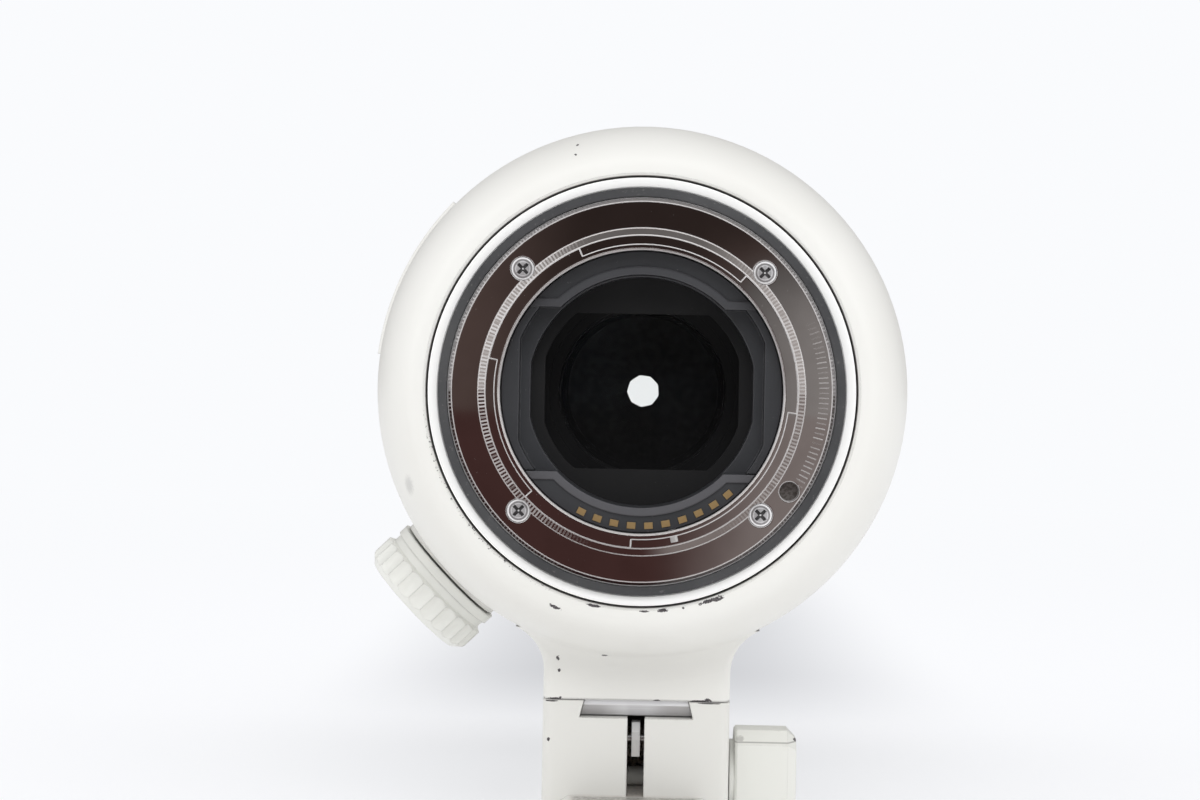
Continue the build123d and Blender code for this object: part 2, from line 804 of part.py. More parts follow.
def make_neck():
    """The neck, with a cove where its rear face meets the bell."""
    reach = sqrt(neck_half_width ** 2 + neck_bottom_z ** 2) + overrun
    wing = make_face(Polyline(
        (collar_bore_radius, neck_rear_y), (reach, neck_rear_y), (reach, collar_front_y),
        (collar_bore_radius, collar_front_y), close=True))
    profile = collar_profile() + wing
    level = [corner for corner in profile.vertices() if abs(corner.Y - neck_rear_y) < seat_gap]
    profile = fillet(min(level, key=lambda corner: corner.X), neck_cove)
    neck = revolve(profile, Axis.Y) & slab(neck_outline(), collar_rear_y, collar_front_y)
    upright = [edge for edge in neck.edges() if abs(edge.center().Y - neck_rear_y) < seat_gap
               and abs(abs(edge.center().X) - neck_half_width) < seat_gap]
    return fillet(upright, neck_round)


def dovetail_screw_places():
    return [(x, y) for x in (-dovetail_screw_x, dovetail_screw_x)
            for y in (dovetail_rear_y + dovetail_screw_margin, dovetail_front_y - dovetail_screw_margin)]


def upright_rod(x, y, radius, bottom, top):
    return rod(Plane(origin=(x, y, bottom)), radius, top - bottom)


def make_tripod_collar():
    body = revolve(collar_profile(), Axis.Y) + make_neck()
    body += radial_rod(knob_angle, knob_y, knob_boss_radius, knob_boss_base, knob_boss_top)
    body -= collar_inside()
    pocket = shoe_top_radius() + shoe_lift + face_gap
    body -= radial_rod(knob_angle, knob_y, shoe_radius + sliding_gap, rear_barrel_radius - overrun, pocket)
    hole = knob_stem_radius + running_gap
    body -= radial_rod(knob_angle, knob_y, hole, rear_barrel_radius, knob_boss_top + overrun)
    top = neck_bottom_z + dovetail_screw_length
    for x, y in dovetail_screw_places():
        body -= upright_rod(x, y, dovetail_screw_radius + seat_gap, neck_bottom_z - overrun, top)
    return body


def shoe_bottom_radius():
    return rear_barrel_radius - clamp_groove_depth + shoe_floor_gap


def shoe_top_radius():
    return shoe_bottom_radius() + shoe_height


def make_collar_knob():
    base = knob_boss_top + face_gap
    grip = base + knob_base_step
    plane = radial_plane(knob_angle, 0, knob_y)
    outline = fluted_outline(knob_radius, knob_flute_depth, knob_flute_count)
    rim = base + knob_rim_height
    knob = extrude(plane * Pos(0, 0, grip) * outline, amount=knob_top - grip)
    shape = revolve(make_face(Polyline(
        (0, base), (knob_base_radius, base), (knob_base_radius, grip), (knob_radius, grip + knob_flute_depth),
        (knob_radius, knob_top - knob_chamfer), (knob_radius - knob_chamfer, knob_top),
        (knob_dish_radius + knob_dish_depth, knob_top), (knob_dish_radius, knob_top - knob_dish_depth),
        (0, knob_top - knob_dish_depth), close=True)), Axis.Y)
    shape = plane * Rot(90, 0, 0) * shape
    collar = radial_rod(knob_angle, knob_y, knob_base_radius, base, grip)
    collar += radial_rod(knob_angle, knob_y, knob_rim_radius, base, rim)
    stem_start = shoe_top_radius() + shoe_lift + sliding_gap
    stem = radial_rod(knob_angle, knob_y, knob_stem_radius, stem_start, grip)
    return (knob & shape) + collar + stem


def make_clamp_shoe():
    return radial_rod(knob_angle, knob_y, shoe_radius, shoe_bottom_radius(), shoe_top_radius())


# Dovetail plate and foot


def dovetail_outline(play):
    bottom = neck_bottom_z - dovetail_height - play
    top = neck_bottom_z + (play and overrun)
    lean = (dovetail_half_width - dovetail_top_half_width) / dovetail_height
    top_half = dovetail_top_half_width + play - lean * (top - neck_bottom_z)
    half = dovetail_half_width + play
    return make_face(Polyline((-top_half, top), (top_half, top), (half, bottom), (-half, bottom), close=True))


def make_dovetail_plate():
    plate = slab(dovetail_outline(0), dovetail_rear_y, dovetail_front_y)
    bottom = neck_bottom_z - dovetail_height
    bevel = side_slab([(dovetail_rear_y - overrun, bottom - overrun),
                       (dovetail_rear_y - overrun, bottom + dovetail_chamfer + overrun),
                       (dovetail_rear_y, bottom + dovetail_chamfer),
                       (dovetail_rear_y + dovetail_chamfer, bottom),
                       (dovetail_rear_y + dovetail_chamfer + overrun, bottom - overrun)],
                      dovetail_half_width + overrun)
    plate -= bevel
    shaft = dovetail_screw_radius + seat_gap
    head = dovetail_screw_head_radius + seat_gap
    head_top = bottom + dovetail_screw_head_height
    for x, y in dovetail_screw_places():
        plate -= upright_rod(x, y, shaft, bottom - overrun, neck_bottom_z + overrun)
        plate -= upright_rod(x, y, head, bottom - overrun, head_top)
    return plate


def make_dovetail_screw(x, y):
    bottom = neck_bottom_z - dovetail_height
    head = bottom + dovetail_screw_head_height
    screw = upright_rod(x, y, dovetail_screw_head_radius, bottom + sliding_gap, head)
    screw_end = neck_bottom_z + dovetail_screw_length - face_gap
    screw += upright_rod(x, y, dovetail_screw_radius, head - seat_gap, screw_end)
    socket = Plane(origin=(x, y, bottom)) * RegularPolygon(dovetail_screw_radius, 6)
    return screw - extrude(socket, amount=dovetail_screw_head_height / 2)


def shoe_outline():
    """The shoe in x and z: a flat top that falls away at its sides."""
    shoulder = shoe_top_z - shoe_shoulder_drop
    edge = shoe_bottom_edge
    points = [(shoe_top_half_width, shoe_top_z), (shoe_half_width, shoulder),
              (shoe_half_width, foot_bottom_z + edge), (shoe_half_width - edge, foot_bottom_z)]
    mirrored = [(-x, z) for x, z in reversed(points)]
    return make_face(Polyline(*points, *mirrored, close=True))


def shoe_plan():
    """The shoe's plan, with cut corners at both ends."""
    half = shoe_half_width + overrun
    inset = half - shoe_corner
    points = [(half, shoe_rear_y + shoe_corner), (half, shoe_front_y - shoe_corner), (inset, shoe_front_y),
              (-inset, shoe_front_y), (-half, shoe_front_y - shoe_corner), (-half, shoe_rear_y + shoe_corner),
              (-inset, shoe_rear_y), (inset, shoe_rear_y)]
    return make_face(Polyline(*points, close=True))


def make_foot():
    top = neck_bottom_z - sliding_gap
    foot_block = side_slab([(foot_rear_y, top), (foot_front_y, top), (foot_front_y + foot_gusset, shoe_top_z),
                            (foot_front_y + foot_gusset, shoe_top_z - shoe_shoulder_drop),
                            (foot_rear_y, shoe_top_z - shoe_shoulder_drop)], foot_half_width)
    upright = foot_block.edges().filter_by(Axis.Z).sort_by(Axis.Y)[:2]
    foot_block = fillet(upright, foot_edge)
    shoe = slab(shoe_outline(), shoe_rear_y, shoe_front_y)
    tall = foot_bottom_z - overrun
    shoe &= extrude(Pos(0, 0, tall) * shoe_plan(), amount=shoe_top_z - tall + overrun)
    body = foot_block + shoe
    body -= slab(dovetail_outline(sliding_gap), foot_rear_y - overrun, foot_front_y + foot_gusset)
    slot_end = foot_front_y - foot_slot_land
    body -= box_between((-foot_slot_half_width, foot_rear_y - overrun, shoe_top_z),
                        (foot_slot_half_width, slot_end, top + overrun))
    body -= cross_rod(foot_knob_y, foot_knob_z, clamp_screw_radius + running_gap,
                      clamp_screw_end_x - face_gap, foot_half_width + overrun)
    body -= cross_rod(catch_pivot_y, catch_pivot_z, catch_pin_radius + seat_gap / 2,
                      -catch_pin_half_length - seat_gap, catch_pin_half_length + seat_gap)
    for y in socket_ys:
        body -= upright_rod(0, y, socket_radius, foot_bottom_z - overrun, foot_bottom_z + socket_depth)
    return body


def make_foot_knob():
    half, depth = foot_knob_half_height, foot_knob_half_depth
    top_depth = foot_knob_top_half_depth
    ridge = half - foot_knob_facet
    points = [(top_depth, half), (depth, ridge), (depth, -ridge), (top_depth, -half),
              (-top_depth, -half), (-depth, -ridge), (-depth, ridge), (-top_depth, half)]
    plane = Plane(origin=(foot_knob_start_x, foot_knob_y, foot_knob_z), x_dir=(0, 1, 0), z_dir=(1, 0, 0))
    thickness = foot_knob_end_x - foot_knob_start_x
    bar = extrude(plane * make_face(Polyline(*points, close=True)), amount=thickness)
    bar = chamfer(bar.faces().sort_by(Axis.X)[-1].edges(), foot_knob_edge)
    bar = chamfer(bar.faces().sort_by(Axis.X)[0].edges(), foot_knob_edge / 4)
    neck_start = foot_half_width + foot_neck_gap
    neck_end = foot_knob_start_x + overrun
    screw_end = neck_start + overrun
    knob = bar + cross_rod(foot_knob_y, foot_knob_z, foot_neck_radius, neck_start, neck_end)
    return knob + cross_rod(foot_knob_y, foot_knob_z, clamp_screw_radius, clamp_screw_end_x, screw_end)


def make_foot_catch():
    """A rocker in the foot's slot, with a nose at its top."""
    rear, front = catch_y, catch_y + catch_depth
    lean = catch_nose
    lever = side_slab([(rear + lean, catch_top_z), (front, catch_top_z), (front, catch_bottom_z + lean),
                       (front - lean, catch_bottom_z), (rear + lean / 2, catch_bottom_z),
                       (rear, catch_pivot_z), (rear, catch_top_z - lean)], catch_thickness / 2)
    return lever - cross_rod(catch_pivot_y, catch_pivot_z, catch_pin_radius + seat_gap,
                             -catch_thickness, catch_thickness)


def make_catch_pin():
    half = catch_pin_half_length
    return cross_rod(catch_pivot_y, catch_pivot_z, catch_pin_radius, -half, half)


# Main barrel, switch panel and guide barrel


def make_main_barrel():
    bore = rear_spigot_radius + seat_gap
    guide_bore = guide_radius + seat_gap
    edge = main_rear_chamfer
    return turned(
        (bore, main_rear_y), (main_rear_radius, main_rear_y), (main_rear_radius + edge, main_rear_y + edge),
        (main_radius, main_flare_y), (main_radius, main_front_y), (focus_spigot_radius, main_front_y),
        (focus_spigot_radius, focus_spigot_y), (guide_bore, focus_spigot_y), (guide_bore, guide_start_y),
        (main_chamber_radius, guide_start_y), (main_chamber_radius, main_chamber_y), (bore, main_chamber_y))


def switch_y():
    return (panel_rear_y + panel_front_y) / 2 - switch_travel / 2


def make_switch_panel():
    inner = main_radius + seat_gap
    first, last = panel_angles
    edge = panel_edge
    face = make_face(Polyline(
        (inner, panel_rear_y), (panel_radius - edge, panel_rear_y), (panel_radius, panel_rear_y + edge),
        (panel_radius, panel_front_y - edge), (panel_radius - edge, panel_front_y), (inner, panel_front_y),
        close=True))
    panel = at_angle(revolve(face, Axis.Y, revolution_arc=last - first), last)
    length = switch_length + switch_travel + 2 * switch_slot_gap
    width = switch_width + 2 * switch_slot_gap
    for angle in switch_angles:
        middle = switch_y() + switch_travel / 2
        panel -= block(radial_plane(angle, switch_slot_floor, middle), length, width, panel_radius)
    return panel


def make_switch(angle):
    """A slider with a thumb ridge across it."""
    plane = radial_plane(angle, switch_bottom, switch_y())
    height = switch_top - switch_bottom
    body = block(plane, switch_length, switch_width, height - switch_ridge)
    thin = switch_length / 4
    for place in (-thin, 0, thin):
        ridge = radial_plane(angle, switch_top - 2 * switch_ridge, switch_y() + place)
        body += block(ridge, thin / 2, switch_width, 2 * switch_ridge)
    return body


def make_guide_barrel():
    body = ring(guide_inner_radius, guide_radius, guide_start_y + seat_gap, guide_front_y)
    cutters = [straight_cut(angle, front_follower_y, front_travel, guide_inner_radius, guide_radius)
               for angle in front_follower_angles]
    cutters += [straight_cut(angle, variator_follower_y, variator_travel, guide_inner_radius, guide_radius)
                for angle in variator_follower_angles]
    return body - cutters


# Rings round the barrel


def ribbed_band(radius, depth, count, rib_share, inner, start, end):
    band = slab(ribbed_outline(radius, depth, count, rib_share), start, end)
    return band - disc(inner, start - overrun, end + overrun)


def make_focus_ring():
    inner = focus_spigot_radius + running_gap
    return ring(inner, focus_ring_radius, focus_ring_start_y, focus_ring_end_y)


def make_focus_grip():
    return ribbed_band(focus_grip_radius, grip_rib_depth / 2, focus_rib_count, focus_rib_share,
                       focus_ring_radius + seat_gap / 2, focus_ring_start_y + focus_grip_margin,
                       focus_ring_end_y - focus_grip_margin)


def make_button_barrel():
    seat = focus_spigot_radius + seat_gap
    seat_end = focus_spigot_y - sliding_gap
    body = turned(
        (seat, button_start_y), (button_barrel_radius, button_start_y), (button_barrel_radius, button_end_y),
        (tension_spigot_radius, button_end_y), (tension_spigot_radius, tension_spigot_end_y),
        (button_barrel_inner_radius, tension_spigot_end_y), (button_barrel_inner_radius, seat_end),
        (seat, seat_end))
    for angle in hold_button_angles:
        body -= radial_rod(angle, hold_button_y(), hold_button_radius + hold_button_gap, focus_spigot_radius,
                           hold_button_top + overrun)
    return body


def hold_button_y():
    return (button_start_y + button_end_y) / 2


def make_hold_button(angle):
    button = radial_rod(angle, hold_button_y(), hold_button_radius, hold_button_bottom, hold_button_top)
    button = chamfer(button.faces().sort_by(lambda face: hypot(face.center().X, face.center().Z))[-1].edges(),
                     hold_button_dish)
    rim = hold_button_radius - 2 * hold_button_dish
    return button - radial_rod(angle, hold_button_y(), rim, hold_button_top - hold_button_dish,
                               hold_button_top + overrun)


def make_tension_ring():
    return ribbed_band(tension_ring_radius, grip_rib_depth / 2, tension_rib_count, tension_rib_share,
                       tension_spigot_radius + running_gap, tension_start_y, tension_end_y)


def make_zoom_ring():
    cam_seat = cam_radius + seat_gap
    rear_rib = zoom_start_y + zoom_rib_width
    front_rib = cam_end_y - zoom_rib_width
    return turned(
        (cam_seat, zoom_start_y), (zoom_ring_radius, zoom_start_y), (zoom_ring_radius, zoom_end_y),
        (zoom_lip_radius, zoom_end_y), (zoom_lip_radius, zoom_lip_y), (cam_seat, zoom_lip_y),
        (cam_seat, front_rib), (zoom_ring_inner_radius, front_rib), (zoom_ring_inner_radius, rear_rib),
        (cam_seat, rear_rib))


def make_zoom_grip():
    return ribbed_band(zoom_grip_radius, grip_rib_depth, zoom_rib_count, zoom_rib_share,
                       zoom_ring_radius + seat_gap / 2, zoom_start_y + zoom_grip_margin,
                       zoom_end_y - zoom_grip_margin)


def make_cam_barrel():
    body = ring(cam_inner_radius, cam_radius, cam_start_y, cam_end_y)
    inner, outer = cam_inner_radius, cam_radius
    cutters = []
    for angle in front_follower_angles:
        cutters += helical_cut(angle, zoom_turn, front_follower_y, front_travel, inner, outer)
    for angle in variator_follower_angles:
        cutters += helical_cut(angle, zoom_turn, variator_follower_y, variator_travel, inner, outer)
    return body - cutters


# Moving lens groups


def make_front_tube():
    shelf_end = front_shelf_y + front_shelf_thickness
    second_bore = second_lens_radius + seat_gap
    body = turned(
        (front_tube_inner_radius, front_tube_start_y), (front_tube_radius, front_tube_start_y),
        (front_tube_radius, front_tube_end_y), (second_bore, front_tube_end_y), (second_bore, shelf_end),
        (front_shelf_radius, shelf_end), (front_shelf_radius, front_shelf_y),
        (front_tube_inner_radius, front_shelf_y))
    root = front_tube_inner_radius
    for angle in front_follower_angles:
        body += radial_rod(angle, front_follower_y, follower_radius, root, follower_tip_radius)
    half = follower_radius + follower_gap
    notch_start = front_tube_start_y - overrun
    notch_end = variator_follower_y + half
    for angle in variator_follower_angles:
        plane = radial_plane(angle, front_tube_inner_radius - overrun, (notch_start + notch_end) / 2)
        body -= block(plane, notch_end - notch_start, 2 * half, front_tube_radius)
    return body


def make_filter_ring():
    tube_seat = front_tube_radius + seat_gap
    lens_bore = front_lens_radius + seat_gap
    lip_rear = filter_ring_end_y - filter_thread_length - filter_lip_thickness
    lip_front = lip_rear + filter_lip_thickness
    edge = filter_edge
    return turned(
        (tube_seat, filter_ring_start_y), (filter_ring_radius - edge, filter_ring_start_y),
        (filter_ring_radius, filter_ring_start_y + edge), (filter_ring_radius, filter_ring_end_y - edge),
        (filter_ring_radius - edge, filter_ring_end_y), (filter_thread_radius, filter_ring_end_y),
        (filter_thread_radius, lip_front), (filter_lip_radius, lip_front), (filter_lip_radius, lip_rear),
        (lens_bore, lip_rear), (lens_bore, front_tube_end_y), (tube_seat, front_tube_end_y))


def make_front_lenses():
    lip_rear = filter_ring_end_y - filter_thread_length - filter_lip_thickness
    rear = front_tube_end_y + seat_rise(front_lens_radius, second_lens_radius, front_lens_bulge)
    front = lip_rear - seat_rise(front_lens_radius, filter_lip_radius, front_lens_front_bulge)
    first = element(front_lens_radius, rear, front, front_lens_bulge, front_lens_front_bulge)
    second_rear = front_shelf_y + front_shelf_thickness
    second = element(second_lens_radius, second_rear, second_rear + second_lens_thickness,
                     -front_lens_bulge, front_lens_bulge)
    return [first, second]


def cell_ring(lens_radius, outer, rear, front):
    """A lens cell: a ring with a lip behind the lens."""
    lens_bore = lens_radius + seat_gap
    lip_end = rear + variator_lip_thickness
    lip = lens_radius - variator_lip
    return turned((lip, rear), (outer, rear), (outer, front), (lens_bore, front), (lens_bore, lip_end),
                  (lip, lip_end))


def make_variator_cell():
    front = variator_rear_y + variator_cell_length
    body = cell_ring(variator_lens_radius, variator_radius, variator_rear_y, front)
    for angle in variator_follower_angles:
        body += radial_rod(angle, variator_follower_y, follower_radius, variator_radius - overrun,
                           follower_tip_radius)
    return body


def make_variator_lenses():
    rear = variator_rear_y + variator_lip_thickness
    front = variator_rear_y + variator_cell_length
    middle = (rear + front) / 2
    bulge = front_lens_bulge / 2
    first = element(variator_lens_radius, rear, middle - bulge, -bulge, -bulge)
    second = element(variator_lens_radius, middle + bulge / 2, front, -bulge, bulge)
    return [first, second]


def make_focus_cell():
    front = focus_cell_rear_y + focus_cell_length
    return cell_ring(focus_lens_radius, focus_cell_radius, focus_cell_rear_y, front)


def make_focus_lens():
    lip = focus_lens_radius - variator_lip
    rear = focus_cell_rear_y + variator_lip_thickness + seat_rise(focus_lens_radius, lip, front_lens_bulge)
    front = focus_cell_rear_y + focus_cell_length
    return element(focus_lens_radius, rear, front, front_lens_bulge, front_lens_bulge)


# Iris and stabiliser


def iris_close_angle():
    """How far a blade swings in for the small opening."""
    half_pitch = radians(180 / iris_blade_count)
    spread = iris_hole_radius * cos(half_pitch)
    reach = iris_blade_inner_radius ** 2 - iris_hole_radius ** 2
    centre_shift = sqrt(spread ** 2 + reach) - spread
    return degrees(2 * asin(centre_shift / (2 * iris_pivot_radius)))


def iris_ring_rear_y():
    return iris_housing_rear_y + iris_plate_thickness + iris_level_pitch * (iris_blade_count + 1)


def blade_outline():
    """One blade, opened, with its pivot on +X."""
    root, span = iris_blade_root_angle, iris_blade_span - iris_blade_root_angle
    inner = CenterArc((0, 0), iris_blade_inner_radius, root, span)
    outer = CenterArc((0, 0), iris_blade_outer_radius, root, span)
    leaf = make_face([*inner.edges(), Line(inner @ 1, outer @ 1), *outer.edges(), Line(outer @ 0, inner @ 0)])
    arm_start = (iris_blade_inner_radius + iris_blade_outer_radius) / 2
    pin_x = iris_pivot_radius + iris_arm_length
    arm = Pos((arm_start + pin_x) / 2, 0) * Rectangle(pin_x - arm_start, iris_arm_width)
    end = Pos(pin_x, 0) * Circle(iris_arm_width / 2)
    return leaf + arm + end - Pos(iris_pivot_radius, 0) * Circle(iris_post_radius + running_gap)


def make_iris_blade(number):
    level = iris_housing_rear_y + iris_plate_thickness + iris_level_pitch * (number + 1)
    blade = slab(blade_outline(), level, level + iris_blade_thickness)
    pin_x = iris_pivot_radius + iris_arm_length
    blade += axial_rod(0, pin_x, iris_pin_radius, level, iris_ring_rear_y() + iris_ring_thickness)
    swing = Pos(iris_pivot_radius, 0, 0) * Rot(0, -iris_close_angle(), 0)
    blade = swing * Pos(-iris_pivot_radius, 0, 0) * blade
    return at_angle(blade, iris_start_angle + 360 / iris_blade_count * number)


def make_iris_housing():
    plate_front = iris_housing_rear_y + iris_plate_thickness
    rim = iris_housing_radius - iris_plate_thickness
    body = turned(
        (iris_opening_radius, iris_housing_rear_y), (iris_housing_radius, iris_housing_rear_y),
        (iris_housing_radius, iris_wall_front_y), (rim, iris_wall_front_y), (rim, plate_front),
        (iris_wall_radius, plate_front), (iris_wall_radius, iris_wall_front_y),
        (iris_wall_inner_radius, iris_wall_front_y), (iris_wall_inner_radius, plate_front),
        (iris_opening_radius, plate_front))
    for number in range(iris_blade_count):
        angle = iris_start_angle + 360 / iris_blade_count * number
        body += axial_rod(angle, iris_pivot_radius, iris_post_radius, iris_housing_rear_y + overrun / 2,
                          iris_ring_rear_y())
    for angle in (0, 180):
        body += yoke_tab(angle, 0)
    return body


def yoke_tab(angle, play):
    """A tongue on the housing's rear face that the yoke slides along."""
    rear = iris_housing_rear_y - stabiliser_gap - yoke_thickness
    low = (yoke_radius - yoke_tab_length - play, rear, -yoke_tab_width / 2 - play)
    high = (yoke_radius + play * 2, iris_housing_rear_y + play, yoke_tab_width / 2 + play)
    return at_angle(box_between(low, high), angle)


def iris_turn():
    """How far the iris ring turns while the blades open."""
    close = radians(iris_close_angle())
    sweep = atan2(iris_arm_length * sin(close), iris_pivot_radius + iris_arm_length * cos(close))
    return degrees(sweep)


def make_iris_ring():
    rear = iris_ring_rear_y()
    front = rear + iris_ring_thickness
    body = ring(iris_ring_inner_radius, iris_wall_inner_radius - sliding_gap, rear, front)
    close = radians(iris_close_angle())
    closed_radius = hypot(iris_pivot_radius + iris_arm_length * cos(close), iris_arm_length * sin(close))
    open_radius = iris_pivot_radius + iris_arm_length
    width = 2 * (iris_pin_radius + iris_pin_gap)
    length = open_radius - closed_radius + width
    for number in range(iris_blade_count):
        angle = iris_start_angle + iris_turn() + 360 / iris_blade_count * number
        slot = box_between((closed_radius - width / 2, rear - overrun, -width / 2),
                           (closed_radius - width / 2 + length, front + overrun, width / 2))
        body -= at_angle(slot, angle)
    return body


def make_stabiliser_yoke():
    rear = iris_housing_rear_y - stabiliser_gap - yoke_thickness
    yoke = ring(yoke_opening_radius, yoke_radius, rear, rear + yoke_thickness)
    for angle in (0, 180):
        yoke -= yoke_tab(angle, overrun)
    return yoke


def stabiliser_cell_rear_y():
    return iris_housing_rear_y - 2 * stabiliser_gap - yoke_thickness - stabiliser_cell_length


def make_stabiliser_cell():
    rear = stabiliser_cell_rear_y()
    return cell_ring(stabiliser_lens_radius, stabiliser_cell_radius, rear, rear + stabiliser_cell_length)


def make_stabiliser_lens():
    rear = stabiliser_cell_rear_y() + variator_lip_thickness
    front = stabiliser_cell_rear_y() + stabiliser_cell_length
    bulge = front_lens_bulge / 2
    return element(stabiliser_lens_radius, rear, front, -bulge, -bulge)


# Rear lens cell and board


def make_rear_lens_cell():
    lip_end = rear_cell_lip_y + rear_cell_lip_thickness
    lens_bore = rear_lens_radius + seat_gap
    lens_end = lip_end + rear_lens_length
    second_bore = rear_second_lens_radius + seat_gap
    flange_end = rear_cell_flange_y + rear_cell_flange_thickness
    outer = rear_barrel_radius - rear_barrel_wall - seat_gap
    return turned(
        (rear_cell_mouth_radius, rear_cell_rear_y), (rear_cell_radius, rear_cell_rear_y),
        (rear_cell_radius, rear_cell_flange_y), (outer, rear_cell_flange_y), (outer, flange_end),
        (second_bore, flange_end), (second_bore, rear_cell_waist_end_y),
        (rear_cell_waist_radius, rear_cell_waist_end_y), (rear_cell_waist_radius, lens_end),
        (lens_bore, lens_end), (lens_bore, lip_end), (rear_cell_lip_radius, lip_end),
        (rear_cell_lip_radius, rear_cell_lip_y), (rear_cell_mouth_radius, rear_cell_lip_y))


def make_rear_lenses():
    lip_end = rear_cell_lip_y + rear_cell_lip_thickness
    bulge = front_lens_bulge / 2
    rear = lip_end + seat_rise(rear_lens_radius, rear_cell_lip_radius, bulge)
    front = lip_end + rear_lens_length - seat_rise(rear_lens_radius, rear_cell_waist_radius, bulge)
    first = element(rear_lens_radius, rear, front, bulge, bulge)
    second_rear = rear_cell_waist_end_y
    second_front = second_rear + rear_second_lens_length
    second = element(rear_second_lens_radius, second_rear, second_front, -bulge, bulge)
    return [first, second]


def make_main_board():
    rear = rear_cell_flange_y - board_thickness
    board = ring(board_inner_radius, board_radius, rear, rear_cell_flange_y)
    for angle in chip_angles:
        chip = Box(chip_size, chip_height + seat_gap, chip_size,
                   align=(Align.CENTER, Align.MIN, Align.CENTER))
        board += at_angle(Pos(chip_circle_radius, rear - chip_height, 0) * chip, angle)
    return board


def build():
    os.makedirs("parts", exist_ok=True)
    save("mount_ring", make_mount_ring())
    save("mount_screws", *[make_mount_screw(angle) for angle in screw_angles])
    save("bayonet_stop_pin", make_stop_pin())
    save("contact_block", make_contact_block())
    save("contact_pads", *[pad_box(angle, 0) for angle in pad_angles])
    save("inner_liner", make_inner_liner())
    save("rear_baffle", make_rear_baffle())
    save("mount_seal", make_mount_seal())
    save("rear_cover_ring", make_rear_cover_ring())
    save("rear_barrel", make_rear_barrel())
    save("rear_lens_cell", make_rear_lens_cell())
    save("rear_lenses", *make_rear_lenses())
    save("main_board", make_main_board())
    save("main_barrel", make_main_barrel())
    save("switch_panel", make_switch_panel())
    save("guide_barrel", make_guide_barrel())
    save("button_barrel", make_button_barrel())
    save("iris_housing", make_iris_housing())
    save("tripod_collar", make_tripod_collar())
    save("collar_knob", make_collar_knob())
    save("collar_clamp_shoe", make_clamp_shoe())
    save("dovetail_plate", make_dovetail_plate())
    save("dovetail_screws", *[make_dovetail_screw(x, y) for x, y in dovetail_screw_places()])
    save("foot", make_foot())
    save("foot_knob", make_foot_knob())
    save("foot_catch", make_foot_catch())
    save("catch_pin", make_catch_pin())
    save("focus_ring", make_focus_ring())
    save("focus_grip", make_focus_grip())
    save("tension_ring", make_tension_ring())
    save("zoom_ring", make_zoom_ring())
    save("zoom_grip", make_zoom_grip())
    save("cam_barrel", make_cam_barrel())
    save("front_tube", make_front_tube())
    save("filter_ring", make_filter_ring())
    save("front_lenses", *make_front_lenses())
    save("variator_cell", make_variator_cell())
    save("variator_lenses", *make_variator_lenses())
    save("focus_cell", make_focus_cell())
    save("focus_lens", make_focus_lens())
    save("stabiliser_yoke", make_stabiliser_yoke())
    save("stabiliser_cell", make_stabiliser_cell())
    save("stabiliser_lens", make_stabiliser_lens())
    save("iris_ring", make_iris_ring())
    for number in range(iris_blade_count):
        save("iris_blade_" + str(number + 1), make_iris_blade(number))
    for number, angle in enumerate(hold_button_angles):
        save("hold_button_" + str(number + 1), make_hold_button(angle))
    for number, angle in enumerate(switch_angles):
        save("slide_switch_" + str(number + 1), make_switch(angle))
    print("iris blade swing", round(iris_close_angle(), 3), "ring turn", round(iris_turn(), 3))


build()
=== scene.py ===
import math

import bmesh
import bpy
from mathutils import Matrix, Vector


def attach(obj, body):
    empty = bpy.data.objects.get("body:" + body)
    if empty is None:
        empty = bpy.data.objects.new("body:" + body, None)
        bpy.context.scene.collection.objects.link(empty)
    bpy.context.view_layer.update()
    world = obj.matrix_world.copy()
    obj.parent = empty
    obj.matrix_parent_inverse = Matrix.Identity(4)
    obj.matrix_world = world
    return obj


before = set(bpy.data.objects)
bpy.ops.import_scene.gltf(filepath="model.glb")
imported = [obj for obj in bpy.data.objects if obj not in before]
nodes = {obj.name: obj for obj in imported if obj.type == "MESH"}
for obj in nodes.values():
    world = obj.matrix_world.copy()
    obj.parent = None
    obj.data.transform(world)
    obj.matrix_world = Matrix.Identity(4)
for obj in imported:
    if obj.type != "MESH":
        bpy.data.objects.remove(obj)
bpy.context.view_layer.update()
mm = 0.001
print("frame:", len(nodes), "nodes")


class Wire:
    # one output socket; maths on it adds Math nodes
    def __init__(self, finish, socket):
        self.finish = finish
        self.socket = socket

    def out(self, name):
        return Wire(self.finish, self.socket.node.outputs[name])

    def maths(self, operation, other=None, back=False):
        first, second = (other, self) if back else (self, other)
        values = {0: first} if other is None else {0: first, 1: second}
        return self.finish.node("ShaderNodeMath", {"operation": operation}, values)

    def __add__(self, other):
        return self.maths("ADD", other)

    def __sub__(self, other):
        return self.maths("SUBTRACT", other)

    def __rsub__(self, other):
        return self.maths("SUBTRACT", other, True)

    def __mul__(self, other):
        return self.maths("MULTIPLY", other)

    def __truediv__(self, other):
        return self.maths("DIVIDE", other)

    def __rtruediv__(self, other):
        return self.maths("DIVIDE", other, True)

    def __pow__(self, other):
        return self.maths("POWER", other)

    def __mod__(self, other):
        return self.maths("FLOORED_MODULO", other)

    def __abs__(self):
        return self.maths("ABSOLUTE")

    def __gt__(self, other):
        return self.maths("GREATER_THAN", other)

    __radd__ = __add__
    __rmul__ = __mul__


